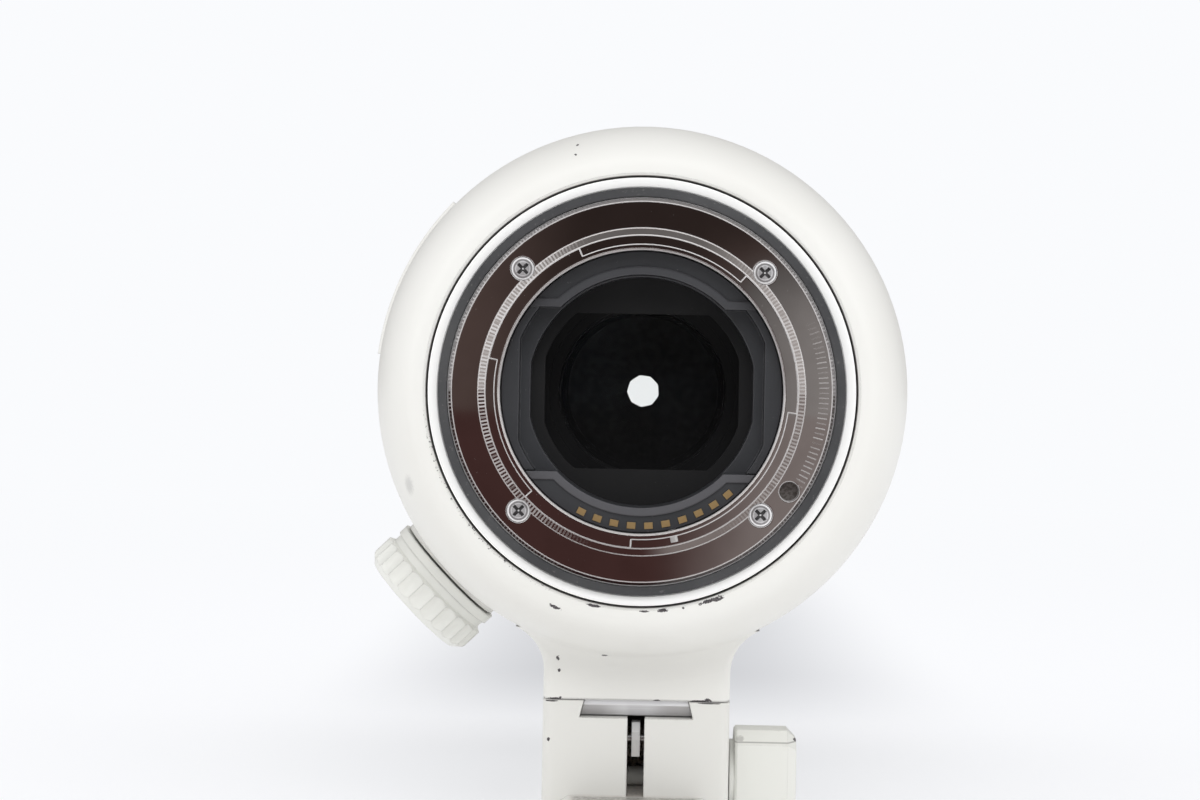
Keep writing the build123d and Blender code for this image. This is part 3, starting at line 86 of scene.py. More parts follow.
class Finish:
    # one material or world and its nodes
    def __init__(self, holder):
        holder.use_nodes = True
        self.holder = holder
        self.tree = holder.node_tree
        self.tree.nodes.clear()

    def node(self, kind, settings=None, values=None, out=0):
        made = self.tree.nodes.new(kind)
        for name, value in (settings or {}).items():
            if name == "stops":
                for spot, (place, colour) in zip(made.color_ramp.elements, value):
                    spot.position = place
                    spot.color = colour
            else:
                setattr(made, name, value)
        for name, value in (values or {}).items():
            socket = made.inputs[name]
            if isinstance(value, Wire):
                self.tree.links.new(value.socket, socket)
            elif isinstance(value, tuple) and socket.type == "RGBA":
                socket.default_value = value if len(value) == 4 else (*value, 1)
            else:
                socket.default_value = value
        return Wire(self, made.outputs[out] if made.outputs else None)

    def place(self):
        return self.node("ShaderNodeTexCoord", out="Object")

    def split(self, vector):
        parts = self.node("ShaderNodeSeparateXYZ", values={0: vector})
        return parts, parts.out(1), parts.out(2)

    def join(self, x, y=0.0, z=0.0):
        return self.node("ShaderNodeCombineXYZ", values={0: x, 1: y, 2: z})

    def vectors(self, operation, first, second=None, out=0):
        values = {0: first} if second is None else {0: first, 1: second}
        return self.node("ShaderNodeVectorMath", {"operation": operation}, values, out)

    def noise(self, where, scale, detail=2.0, rough=0.5):
        return self.node("ShaderNodeTexNoise", values={
            "Vector": where, "Scale": scale, "Detail": detail, "Roughness": rough})

    def lathe(self, radius, y, scale):
        # fine rings, as turning leaves them
        return self.noise(self.join(radius, y * 0.5), scale, 3, 0.7)

    def soft(self, value, low, high):
        return self.node("ShaderNodeMapRange", {"interpolation_type": "SMOOTHSTEP"}, {
            "Value": value, "From Min": low, "From Max": high, "To Min": 0.0, "To Max": 1.0})

    def mix(self, share, first, second):
        return self.node("ShaderNodeMix", {"data_type": "RGBA"}, {0: share, 6: first, 7: second}, out=2)

    def varied(self, pattern, first, second, low=0.3, high=0.7):
        # two tones, shared out by a pattern
        return self.mix(self.soft(pattern, low, high), first, second)

    def blend(self, share, first, second):
        return self.node("ShaderNodeMixShader", values={0: share, 1: first, 2: second})

    def glow(self, colour, strength=1.0):
        return self.node("ShaderNodeEmission", values={"Color": colour, "Strength": strength})

    def bump(self, height, distance, strength=1.0, normal=None):
        values = {"Height": height, "Distance": distance, "Strength": strength}
        if normal:
            values["Normal"] = normal
        return self.node("ShaderNodeBump", values=values)

    def band(self, value, low, high, blur):
        # 1 between low and high, with soft ends
        return self.soft(value, low - blur, low + blur) * (1 - self.soft(value, high - blur, high + blur))

    def line(self, value, middle, half, blur):
        return 1 - self.soft(abs(value - middle), half - blur, half + blur)

    def ticks(self, value, step, thin):
        # narrow repeated marks; thin is the share of each step left dark
        wave = abs((value + 720) % step * (2 / step) - 1)
        return self.soft(wave, thin, min(thin + 0.25, 1))

    def fold(self, operation, values):
        total = values[0]
        for value in values[1:]:
            total = total.maths(operation, value)
        return total

    def most(self, *values):
        return self.fold("MAXIMUM", values)

    def least(self, *values):
        return self.fold("MINIMUM", values)

    def rounded(self, radius, samples=4):
        return self.node("ShaderNodeBevel", {"samples": samples}, {"Radius": radius})

    def edge(self, smooth):
        # 0 on open surface, rising near sharp edges
        flat = self.node("ShaderNodeNewGeometry", out="Normal")
        return 1 - self.vectors("DOT_PRODUCT", smooth, flat, out="Value")

    def polar(self, where):
        x, y, z = self.split(where)
        radius = (x * x + z * z) ** 0.5
        angle = z.maths("ARCTAN2", x) * (180 / math.pi)
        return radius, angle, y

    def surface(self, values):
        self.finish(self.node("ShaderNodeBsdfPrincipled", values=values))

    def finish(self, shader):
        isWorld = isinstance(self.holder, bpy.types.World)
        kind = "ShaderNodeOutputWorld" if isWorld else "ShaderNodeOutputMaterial"
        self.node(kind, values={"Surface": shader})


def newFinish(name):
    return Finish(bpy.data.materials.new(name))


def dress(names, finish):
    # puts a finish on CAD nodes
    for name in names:
        piece = nodes[name]
        if not piece.material_slots:
            piece.data.materials.append(finish.holder)
        for slot in piece.material_slots:
            slot.material = finish.holder


def addPiece(name, bm, finish, body):
    # turns a bmesh into a flat-shaded piece that rides on a CAD body
    mesh = bpy.data.meshes.new(name)
    for face in bm.faces:
        face.smooth = False
    bm.to_mesh(mesh)
    bm.free()
    piece = bpy.data.objects.new(name, mesh)
    bpy.context.scene.collection.objects.link(piece)
    mesh.materials.append(finish.holder)
    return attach(piece, body)


cameraSet = {
    "place": (0.00153, -0.420, 0.0009),
    "lens": 84.66,
    "sensor": 36.0,
    "clip": (0.01, 50),
    "yaw": 1.050,      # degrees to the left
    "pitch": 0.3035,   # degrees down
    "roll": 1.05,      # degrees, turns the picture clockwise
}


def makeCamera():
    data = bpy.data.cameras.new("viewCamera")
    data.lens = cameraSet["lens"]
    data.sensor_width = cameraSet["sensor"]
    data.clip_start, data.clip_end = cameraSet["clip"]
    camera = bpy.data.objects.new("viewCamera", data)
    bpy.context.scene.collection.objects.link(camera)
    turn = Matrix.Rotation(math.radians(cameraSet["yaw"]), 4, "Z")
    turn @= Matrix.Rotation(math.radians(90 - cameraSet["pitch"]), 4, "X")
    turn @= Matrix.Rotation(math.radians(cameraSet["roll"]), 4, "Z")
    camera.matrix_world = Matrix.Translation(cameraSet["place"]) @ turn
    bpy.context.scene.camera = camera


makeCamera()
print("camera: placed")

# the tent of light round the lens; spans are heights or cosines of the ray's direction
tentSet = {
    "backdrop": (0.955, 0.965, 0.985),
    "tint": (1.0, 0.995, 0.985),
    "top": 0.95,                # radiance overhead, at the sides and below
    "side": 0.825,
    "low": 0.8,
    "topSpan": (0.0, 0.9),
    "lowSpan": (0.0, 0.7),
    "opening": (0.80, 0.93),    # where the tent ends, round the camera
    "glassBounces": 40,
}

# what polished metal sees: the opening, its bright rim and the tent's dim sides
mirrorSet = {
    "tint": (1.0, 0.985, 0.98),
    "hole": 0.036,
    "holeTint": (1.0, 0.73, 0.67),
    "right": 0.31,              # a pale wall to the right of the camera
    "rightAcross": (0.002, 0.072),
    "rightTop": (0.02, 0.062),
    "rightClear": (0.02, 0.12),    # the wall's levels over which the hole's tint goes
    "left": 0.07,               # a glimmer to its left
    "leftAcross": (0.02, 0.07),
    "patch": 0.075,             # a paler patch below it
    "patchDown": (0.035, 0.062),
    "patchMiddle": 0.008,
    "patchAcross": (0.004, 0.032),
    "rim": 1.35,
    "rimBand": (0.24, 0.72, 0.05),
    "wall": 0.4,
    "wallLeast": 0.5,
    "wallRise": 0.9,
    "wallAcross": (0.3, 0.9),
}


def makeWorld():
    world = bpy.data.worlds.new("tent")
    bpy.context.scene.world = world
    f = Finish(world)
    x, y, z = f.split(f.node("ShaderNodeTexCoord", out="Generated"))
    path = f.node("ShaderNodeLightPath", out="Is Camera Ray")
    glossy = path.out("Is Glossy Ray")
    back = 0 - y
    behind = f.soft(back, *tentSet["opening"])
    up = f.soft(z, *tentSet["topSpan"]) * (tentSet["top"] - tentSet["side"])
    down = f.soft(0 - z, *tentSet["lowSpan"]) * (tentSet["side"] - tentSet["low"])
    light = (tentSet["side"] + up - down) * (1 - behind)
    rim = f.band(back, *mirrorSet["rimBand"]) * mirrorSet["rim"]
    rise = f.soft(abs(x), *mirrorSet["wallAcross"]) * mirrorSet["wallRise"]
    wall = mirrorSet["wall"] * (mirrorSet["wallLeast"] + rise)
    below = 1 - f.soft(z, *mirrorSet["rightTop"])
    right = f.soft(x, *mirrorSet["rightAcross"]) * below * mirrorSet["right"]
    left = f.soft(0 - x, *mirrorSet["leftAcross"]) * mirrorSet["left"]
    across = 1 - f.soft(abs(x - mirrorSet["patchMiddle"]), *mirrorSet["patchAcross"])
    patch = f.soft(0 - z, *mirrorSet["patchDown"]) * across * mirrorSet["patch"]
    hole = mirrorSet["hole"] + right + left + patch
    mirror = f.most(wall, rim) * (1 - behind) + hole * behind
    tinted = behind * (1 - f.soft(right, *mirrorSet["rightClear"]))
    tint = f.mix(tinted, mirrorSet["tint"], mirrorSet["holeTint"])
    level = light * (1 - glossy) + mirror * glossy
    colour = f.mix(glossy, tentSet["tint"], tint)
    lit = f.node("ShaderNodeBackground", values={"Color": colour, "Strength": level})
    seen = f.node("ShaderNodeBackground", values={"Color": tentSet["backdrop"], "Strength": 1.0})
    f.finish(f.blend(path, lit, seen))


floorSet = {
    "radius": 7.0,
    "segments": 96,
    "z": -0.07302,
    "near": (0.40, 0.405, 0.42),
    "glow": (0.57, 0.575, 0.587),
    "middle": 0.1,                 # y of the plain floor's middle
    "reach": (0.12, 1.3),          # metres over which it melts into the backdrop
    "paintedShadow": (0.02, 0.03, 0.06),    # a soft bluish painted shadow on the floor behind the neck
    "paintedShadowShare": 0.32,
    "paintedShadowAcross": (0.015, 0.085),
    "paintedShadowFrom": (0.16, 0.32),
    "paintedShadowTo": (0.45, 1.0),
    "room": (0.075, 0.038, 0.036),    # the dim room that mirrors see below the camera
    "roomRight": (0.30, 0.275, 0.27),
    "roomAcross": (0.0, 0.07),
    "roomEye": 0.05,
    "roomLeast": 0.25,
    "roomFrom": (-0.06, 0.0),
    "bounce": (0.86, 0.86, 0.86),     # the floor as it lights the lens
    "bounceGlow": 0.19,
}


def makeFloor():
    bm = bmesh.new()
    bmesh.ops.create_circle(bm, cap_ends=True, radius=floorSet["radius"], segments=floorSet["segments"],
                            matrix=Matrix.Translation((0, 0, floorSet["z"])))
    mesh = bpy.data.meshes.new("floor")
    bm.to_mesh(mesh)
    bm.free()
    floor = bpy.data.objects.new("floor", mesh)
    bpy.context.scene.collection.objects.link(floor)
    f = newFinish("paleFloor")
    path = f.node("ShaderNodeLightPath", out="Is Camera Ray")
    glossy = path.out("Is Glossy Ray")
    seen = path + glossy + path.out("Is Transmission Ray") > 0.5
    x, y, z = f.split(f.place())
    ahead = y - floorSet["middle"]
    far = f.soft((x * x + ahead * ahead) ** 0.5, *floorSet["reach"])
    shade = f.node("ShaderNodeBsdfDiffuse", values={"Color": floorSet["near"]})
    near = f.node("ShaderNodeAddShader", values={0: shade, 1: f.glow(floorSet["glow"])})
    shown = f.blend(far, near, f.glow(tentSet["backdrop"]))
    # painted shadow: the floor is mixed towards a dark bluish glow behind the neck, where the lens's shadow
    # would fall
    paintedShadow = (1 - f.soft(abs(x), *floorSet["paintedShadowAcross"])) * f.soft(y, *floorSet["paintedShadowFrom"])
    paintedShadow = paintedShadow * (1 - f.soft(y, *floorSet["paintedShadowTo"])) * floorSet["paintedShadowShare"]
    shown = f.blend(paintedShadow, shown, f.glow(floorSet["paintedShadow"]))
    # towards the camera the table ends, and mirrors see the room there
    turn = x / f.most(floorSet["roomEye"] - y, floorSet["roomLeast"])
    room = f.mix(f.soft(turn, *floorSet["roomAcross"]), floorSet["room"], floorSet["roomRight"])
    shown = f.blend(glossy * f.soft(0 - y, *floorSet["roomFrom"]), shown, f.glow(room))
    white = f.node("ShaderNodeBsdfDiffuse", values={"Color": floorSet["bounce"]})
    plain = f.node("ShaderNodeAddShader", values={
        0: white, 1: f.glow((1.0, 1.0, 1.0), floorSet["bounceGlow"])})
    f.finish(f.blend(seen, plain, shown))
    mesh.materials.append(f.holder)


lampSet = {"power": 9.5, "size": 0.9, "place": (0.05, -1.5, 0.85), "aim": (0, 0.05, 0)}


def makeLamp():
    # fills what the tent's opening takes away, and throws the shadow behind the lens
    data = bpy.data.lights.new("frontLamp", "AREA")
    data.shape = "DISK"
    data.size = lampSet["size"]
    data.energy = lampSet["power"]
    lamp = bpy.data.objects.new("frontLamp", data)
    place = Vector(lampSet["place"])
    aim = (Vector(lampSet["aim"]) - place).to_track_quat("-Z", "Y").to_matrix().to_4x4()
    lamp.matrix_world = Matrix.Translation(place) @ aim
    lamp.visible_camera = False
    lamp.visible_glossy = False
    bpy.context.scene.collection.objects.link(lamp)


makeWorld()
makeFloor()
makeLamp()
bpy.context.scene.view_settings.view_transform = "Standard"
bpy.context.scene.cycles.transparent_max_bounces = tentSet["glassBounces"]
print("stage: world, floor and lamp")

creamSet = {
    "colour": (0.845, 0.843, 0.822),
    "shade": (0.815, 0.811, 0.785),
    "chip": (0.062, 0.055, 0.062),
    "chipDust": (0.15, 0.14, 0.145),
    "worn": (0.34, 0.33, 0.32),
    "wear": 0.55,
    "roughness": 0.42,
    "edge": 0.0004,
    "broad": 22,       # scales of the tone, the orange peel, the grain and the rubbed edges
    "peel": 1500,
    "grain": 5200,
    "ragged": 900,
    "relief": 0.000012,
    "chipDepth": 5,    # in reliefs
    "coat": 0.12,
}


def spotReach(f, where, spots):
    # distance to the nearest spot, in units of its half size; places and sizes in mm
    reaches = []
    for place, size in spots:
        away = f.vectors("SUBTRACT", where, tuple(mm * v for v in place))
        flat = f.vectors("MULTIPLY", away, tuple(1 / (mm * v) for v in size))
        reaches.append(f.vectors("LENGTH", flat, out="Value"))
    return f.least(*reaches)


def rimReach(f, turn, radius, spots):
    # the same for spots on a turned edge: angle, radius, half length along it, half width
    reaches = []
    for place, ring, along, across in spots:
        u = (turn - place) * (math.radians(ring) / along)
        v = (radius * 1000 - ring) * (1 / across)
        reaches.append((u * u + v * v) ** 0.5)
    return f.least(*reaches)


def paint(name, look, marks=None):
    # satin paint with orange peel, rubbed edges and, from marks, chips down to dark metal
    f = newFinish(name)
    where = f.place()
    peel = f.noise(where, look["peel"], 2)
    grain = f.noise(where, look["grain"], 2, 0.6)
    ragged = f.noise(where, look["ragged"], 4, 0.65)
    colour = f.varied(f.noise(where, look["broad"], 3), look["colour"], look["shade"], 0.35)
    smooth = f.rounded(look["edge"])
    worn = f.soft(f.edge(smooth) * 3 + (ragged - 0.5) * 1.2, 0.62, 0.75)
    colour = f.mix(worn * look["wear"], colour, look["worn"])
    rough = look["roughness"] + (grain - 0.5) * 0.12
    height = peel * 0.6 + grain * 0.4
    if marks:
        chips, stainAndShade, tint = marks(f, where)
        # marks also bring stains and, on the collar and the foot, painted shade
        if stainAndShade:
            colour = f.mix(stainAndShade, colour, tint)
        inside = f.mix(f.soft(grain, 0.42, 0.62), look["chip"], look["chipDust"])
        colour = f.mix(chips, colour, inside)
        height = height - chips * look["chipDepth"]
        rough = rough - chips * 0.1
    f.surface({"Base Color": colour, "Roughness": rough, "Specular IOR Level": 0.4,
               "Coat Weight": look["coat"], "Coat Roughness": 0.25,
               "Normal": f.bump(height, look["relief"], 0.55, smooth)})
    return f


# bands and spans of the marks are in metres and degrees
collarSet = {
    "rimChips": (
        (248.9, 34.75, 0.95, 0.3), (258.6, 32.8, 1.3, 0.22), (271.7, 32.85, 0.75, 0.16),
        (276.6, 32.85, 1.0, 0.32), (281.9, 32.9, 0.22, 0.18), (289.4, 32.85, 1.9, 0.3),
        (291.5, 33.1, 0.8, 0.25)),
    "chips": (
        ((-12.4, 20.3, -41.7), (0.35, 1.5, 0.45)), ((-12.1, 20.3, -43.7), (0.25, 1.5, 0.3)),
        ((-5.1, 17.0, -41.0), (0.5, 3.0, 0.16)), ((-10.4, 7.3, 37.2), (0.22, 0.6, 0.4)),
        ((-10.6, 4.4, 35.5), (0.2, 0.5, 0.2))),
    "seamChips": (
        ((-12.7, 20.2, -48.1), (1.2, 1.2, 0.17)), ((-11.9, 20.2, -48.0), (0.25, 1.2, 0.25)),
        ((3.2, 20.0, -48.12), (0.6, 1.0, 0.15)), ((9.9, 20.2, -48.12), (2.0, 1.2, 0.17)),
        ((11.1, 20.2, -47.95), (0.5, 1.2, 0.32))),
    "ragged": 2.3,
    "seamRagged": 2.7,
    "chipEdge": (0.82, 0.94),
    "rowRadius": (0.03262, 0.00024, 0.00012),    # a row of knocks beside the rim
    "rowTurn": (188, 246, 6),
    "rowDepth": (0.0015, 0.0032, 0.0004),
    "rowGaps": (0.57, 0.62),
    "scuff": (((-34.9, 5.9, -14.8), (1.0, 2.5, 1.9)),),
    "scuffEdge": (0.3, 1.1),
    "scuffShare": 0.35,
    "joint": (-0.0483, -0.04795, 0.0001),
    "jointShare": 0.35,
    "grey": (0.3, 0.3, 0.3),
    "lip": (0.03238, 0.03247),    # painted shade: the dark line in the gap round the cover ring
    "lipShare": 0.9,
    "lipColour": (0.04, 0.03, 0.027),
}


def collarMarks(f, where):
    ragged = f.noise(where, 2300, 3, 0.75)
    fine = f.noise(where, 2700, 3, 0.75)
    radius, angle, y = f.polar(where)
    turn = (angle + 360) % 360
    rim = rimReach(f, turn, radius, collarSet["rimChips"])
    reach = f.least(rim, spotReach(f, where, collarSet["chips"])) + (ragged - 0.5) * collarSet["ragged"]
    seam = spotReach(f, where, collarSet["seamChips"]) + (fine - 0.5) * collarSet["seamRagged"]
    chips = 1 - f.soft(f.least(reach, seam), *collarSet["chipEdge"])
    knocks = f.noise(f.join(turn, radius * 1500), 1.1, 3, 0.7)
    row = f.line(radius, *collarSet["rowRadius"]) * f.band(turn, *collarSet["rowTurn"])
    row = row * f.band(y, *collarSet["rowDepth"]) * f.soft(knocks, *collarSet["rowGaps"])
    scuff = spotReach(f, where, collarSet["scuff"]) + (ragged - 0.5)
    scuff = (1 - f.soft(scuff, *collarSet["scuffEdge"])) * collarSet["scuffShare"]
    joint = f.band(f.split(where)[2], *collarSet["joint"]) * collarSet["jointShare"]
    # painted shade of the gap round the cover ring: the collar's inner rim is mixed almost to black
    lip = 1 - f.soft(radius, *collarSet["lip"])
    stainAndShade = f.most(scuff, joint, lip * collarSet["lipShare"])
    return f.most(chips, row), stainAndShade, f.mix(lip, collarSet["grey"], collarSet["lipColour"])


footSet = {
    "chips": (
        ((-13.2, 20.2, -48.5), (1.0, 1.2, 0.13)), ((11.4, 20.2, -48.45), (2.2, 1.2, 0.13)),
        ((-13.6, 20.5, -54.5), (0.25, 1.0, 0.35))),
    "ragged": 1.7,
    "chipEdge": (0.8, 0.95),
    "slotSide": (0.00134, 0.00142),
    "slotFrom": (0.0202, 0.0206),
    "grit": (0.35, 0.6),
    "deep": (-0.0556, -0.0536),    # heights above which the slot holds no grit and is painted near-black as shade
    "low": (-0.0622, -0.0608),     # heights below which the slot's painted shade is weaker
    "slotShadeShare": 0.97,
    "lowShare": 0.55,
    # the slot's near-black painted shade and its brown grit
    "gritAndShade": ((0.05, 0.044, 0.038), (0.60, 0.50, 0.42)),
    "tray": (-0.0637, -0.063, 0.0001),    # the ledge under the block, painted darker brown-grey
    "trayTo": (0.0192, 0.0204),
    "traySide": (0.009, 0.0108),
    "trayShare": 0.35,
    "trayGrit": 0.4,
    "trayColour": (0.10, 0.085, 0.065),
}


def footMarks(f, where):
    # rubbed top edge, and painted shade darkening the slot, with brown grit low in it
    x, y, z = f.split(where)
    ragged = f.noise(where, 1500, 4, 0.7)
    reach = spotReach(f, where, footSet["chips"]) + (ragged - 0.5) * footSet["ragged"]
    # painted shade: the slot walls are mixed almost to black, less so low down, where brown grit shows
    slot = (1 - f.soft(abs(x), *footSet["slotSide"])) * f.soft(y, *footSet["slotFrom"])
    grit = f.soft(ragged, *footSet["grit"])
    low = 1 - f.soft(z, *footSet["low"])
    slotShadeAndGrit = slot * (footSet["slotShadeShare"] - low * footSet["lowShare"])
    tray = f.band(z, *footSet["tray"]) * (1 - f.soft(y, *footSet["trayTo"]))
    tray = tray * (1 - f.soft(abs(x), *footSet["traySide"]))
    gritAndShade = f.mix(grit * (1 - f.soft(z, *footSet["deep"])), *footSet["gritAndShade"])
    stainAndShade = f.most(slotShadeAndGrit, tray * (footSet["trayShare"] + grit * footSet["trayGrit"]))
    return 1 - f.soft(reach, *footSet["chipEdge"]), stainAndShade, f.mix(tray, gritAndShade, footSet["trayColour"])


knobSet = {
    "chips": (((25.3, 30.0, -55.0), (0.4, 1.4, 0.3)),),
    "ragged": 1.8,
    "chipEdge": (0.75, 0.95),
    "smudges": (((16.5, 27.2, -54.7), (0.8, 2.0, 0.6)), ((22.6, 27.5, -53.7), (0.7, 2.0, 0.3))),
    "smudgeRagged": 1.6,
    "smudgeEdge": (0.6, 1.0),
    "smudgeShare": 0.5,
    "seam": (-0.05525, 0.00009, 0.00005),
    "seamFrom": (0.0150, 0.0155),
    "seamShare": 0.75,
    "grey": (0.3, 0.29, 0.28),
}


def knobMarks(f, where):
    x, y, z = f.split(where)
    ragged = f.noise(where, 1500, 4, 0.7) - 0.5
    reach = spotReach(f, where, knobSet["chips"]) + ragged * knobSet["ragged"]
    rubbed = spotReach(f, where, knobSet["smudges"]) + ragged * knobSet["smudgeRagged"]
    smudge = (1 - f.soft(rubbed, *knobSet["smudgeEdge"])) * knobSet["smudgeShare"]
    seam = f.line(z, *knobSet["seam"]) * f.soft(x, *knobSet["seamFrom"]) * knobSet["seamShare"]
    return 1 - f.soft(reach, *knobSet["chipEdge"]), f.most(seam, smudge), knobSet["grey"]


filterInside = (0.0387, 0.0388)    # radii behind which the front ring is black


def filterMarks(f, where):
    return 1 - f.soft(f.polar(where)[0], *filterInside), None, None


cream = paint("creamPaint", creamSet)
collarPaint = paint("collarPaint", creamSet, collarMarks)
# a darker copy of the cream paint: painted shade for the foot, low under the collar
footPaintShaded = paint("footPaintShaded", {
    **creamSet, "colour": (0.79, 0.787, 0.765), "shade": (0.76, 0.757, 0.73)}, footMarks)
knobPaint = paint("knobPaint", {
    **creamSet, "colour": (0.825, 0.83, 0.80), "shade": (0.80, 0.805, 0.77), "worn": (0.40, 0.40, 0.37),
    "roughness": 0.38}, knobMarks)
# a whiter copy of the cream paint: painted light for the sunk cover ring, which the lamps reach less
ringPaintLit = paint("ringPaintLit", {
    **creamSet, "colour": (0.965, 0.968, 0.968), "shade": (0.955, 0.957, 0.955), "edge": 0.00008,
    "wear": 0.3})
filterPaint = paint("filterPaint", {**creamSet, "chip": (0.014, 0.014, 0.015)}, filterMarks)

# painted highlights on edges, rims and lug ends, and painted reflections as radial ticks; rims, lugs and the
# lock hole's place in mm and degrees; bands and spans in metres and degrees
mountSet = {
    "colour": (0.62, 0.57, 0.55),
    "shade": (0.57, 0.52, 0.50),
    "line": (0.80, 0.79, 0.80),
    "roughness": 0.03,
    "lineRough": 0.4,
    "lineMetal": 0.35,
    "edge": 0.00028,
    "edgeSamples": 8,
    "edgeSpan": (0.012, 0.08),
    "rims": ((20.98, 0.10), (23.30, 0.11), (24.42, 0.08), (28.36, 0.09), (28.93, 0.11)),
    "rimBlur": 0.00003,
    "rimShare": 0.8,
    "lugs": ((-7, 49), (114.5, 168.5), (223, 267)),
    "lugBlur": 0.2,
    "lugEnd": (0.28, 0.1),
    "lugBand": (0.0217, 0.0233, 0.00005),
    "tube": (0.02174, 0.00010, 0.00003),
    "tubeShare": 0.85,
    "left": (0.006, 0.018),        # distances from the axis at which the painted reflection ticks begin to show
    "right": (0.010, 0.022),
    "cone": (0.02335, 0.02438, 0.00005),
    "coneTicks": (1.3, 0.35),
    "coneShares": (0.85, 0.55),
    "coneGaps": (0.3, 0.55),
    "slope": (0.02842, 0.0289, 0.00004),
    "slopeColour": (0.24, 0.23, 0.23),
    "outer": (0.02842, 0.0289, 0.00005),
    "outerTicks": (1.15, 0.4),
    "outerShares": (0.55, 0.45),
    "outerGaps": (0.35, 0.6),
    "face": (0.02640, 0.02785, 0.00006),
    "faceTurn": (-31, 21, 4),
    "faceTicks": (1.6, 0.62),
    "faceGaps": (0.3, 0.6),
    "faceShare": 0.7,
    "specks": (0.74, 0.78),
    "speckShare": 0.35,
    "lock": (22.22, 0.0, -14.43),
    "lockEdge": (0.00135, 0.00155),
    "lockHoleShade": ((0.06, 0.055, 0.05), (0.26, 0.25, 0.24)),
    "lockShare": 0.75,
    "rings": 9000,
    "relief": 0.000001,
}


def tickBand(f, angle, radius, uneven, name):
    # painted reflections: radial ticks in one band of the mount, with gaps
    band = f.band(radius, *mountSet[name]) * f.ticks(angle + 1.0, *mountSet[name + "Ticks"])
    return band * f.soft(uneven, *mountSet[name + "Gaps"])


def mountMetal():
    # mirror-turned flange, with painted highlights on its edges and rims and painted reflections as fine
    # radial ticks
    f = newFinish("mountMetal")
    where = f.place()
    radius, angle, y = f.polar(where)
    x, y, z = f.split(where)
    blot = f.noise(where, 160, 3)
    fine = f.noise(where, 2600, 3, 0.65)
    smooth = f.rounded(mountSet["edge"], mountSet["edgeSamples"])
    lines = [f.soft(f.edge(smooth), *mountSet["edgeSpan"])]
    for ring, half in mountSet["rims"]:
        lines.append(f.line(radius, ring * mm, half * mm, mountSet["rimBlur"]) * mountSet["rimShare"])
    around = (angle + 370) % 360 - 10
    blur = mountSet["lugBlur"]
    between, ends = 1.0, []
    for first, last in mountSet["lugs"]:
        between = (1 - f.band(around, first - blur, last + blur, blur)) * between
        ends += [f.line(around, first, *mountSet["lugEnd"]), f.line(around, last, *mountSet["lugEnd"])]
    lines.append(f.most(*ends) * f.band(radius, *mountSet["lugBand"]))
    lines.append(f.line(radius, *mountSet["tube"]) * between * mountSet["tubeShare"])
    left = f.soft(0 - x, *mountSet["left"])
    right = f.soft(x, *mountSet["right"])
    uneven = f.noise(f.join(angle), 0.35, 3, 0.7)
    for name in ("cone", "outer"):
        onLeft, onRight = mountSet[name + "Shares"]
        lines.append(tickBand(f, angle, radius, uneven, name) * (left * onLeft + right * onRight))
    face = tickBand(f, angle, radius, uneven, "face") * f.band(angle, *mountSet["faceTurn"])
    lines.append(face * mountSet["faceShare"])
    lines.append(f.soft(f.noise(where, 3400, 2, 0.5), *mountSet["specks"]) * mountSet["speckShare"])
    lit = f.most(*lines)
    # painted shade: the lock hole is mixed to dark, rough tones
    away = f.vectors("DISTANCE", f.join(x, 0.0, z), tuple(mm * v for v in mountSet["lock"]), out="Value")
    hole = 1 - f.soft(away, *mountSet["lockEdge"])
    colour = f.varied(blot, mountSet["colour"], mountSet["shade"], 0.35)
    colour = f.mix(f.band(radius, *mountSet["slope"]), colour, mountSet["slopeColour"])
    # painted highlights and reflections, with pale specks: edges, rims, lug ends, ticks and specks go to a
    # pale, rougher, less metallic colour
    colour = f.mix(lit, colour, mountSet["line"])
    holeShadeColour = f.mix(f.soft(fine, 0.4, 0.6), *mountSet["lockHoleShade"])
    colour = f.mix(hole * mountSet["lockShare"], colour, holeShadeColour)
    rough = mountSet["roughness"] + lit * (mountSet["lineRough"] - mountSet["roughness"])
    rough = rough + (blot - 0.5) * 0.02 + hole * 0.4
    metal = 1 - lit * (1 - mountSet["lineMetal"]) - hole * 0.5
    lathe = f.lathe(radius, y, mountSet["rings"])
    f.surface({"Base Color": colour, "Metallic": metal, "Roughness": rough,
               "Normal": f.bump(lathe, mountSet["relief"], 0.3, smooth)})
    return f


# mm; rim, crown, middle and darkRing are rings of painted reflection on the head: radius, half width, blur
screwSet = {
    "circle": 18.031,    # x and z of the four heads
    "cross": (0.19, 0.29),
    "crossEnd": (0.99, 1.11),
    "rim": (1.56, 0.12, 0.04),
    "crown": (1.05, 0.05, 0.04),
    "crownShare": 0.6,
    "middle": (0.0, 0.14, 0.05),
    "darkRing": (1.3, 0.09, 0.06),
    "tones": ((0.66, 0.66, 0.68), (0.80, 0.80, 0.83)),
    "darkRingColour": (0.16, 0.15, 0.15),
    "crossShade": (0.04, 0.04, 0.04),
    "rimHighlight": (0.95, 0.95, 0.97),
    "dome": 0.00006,
    "edge": 0.00012,
}


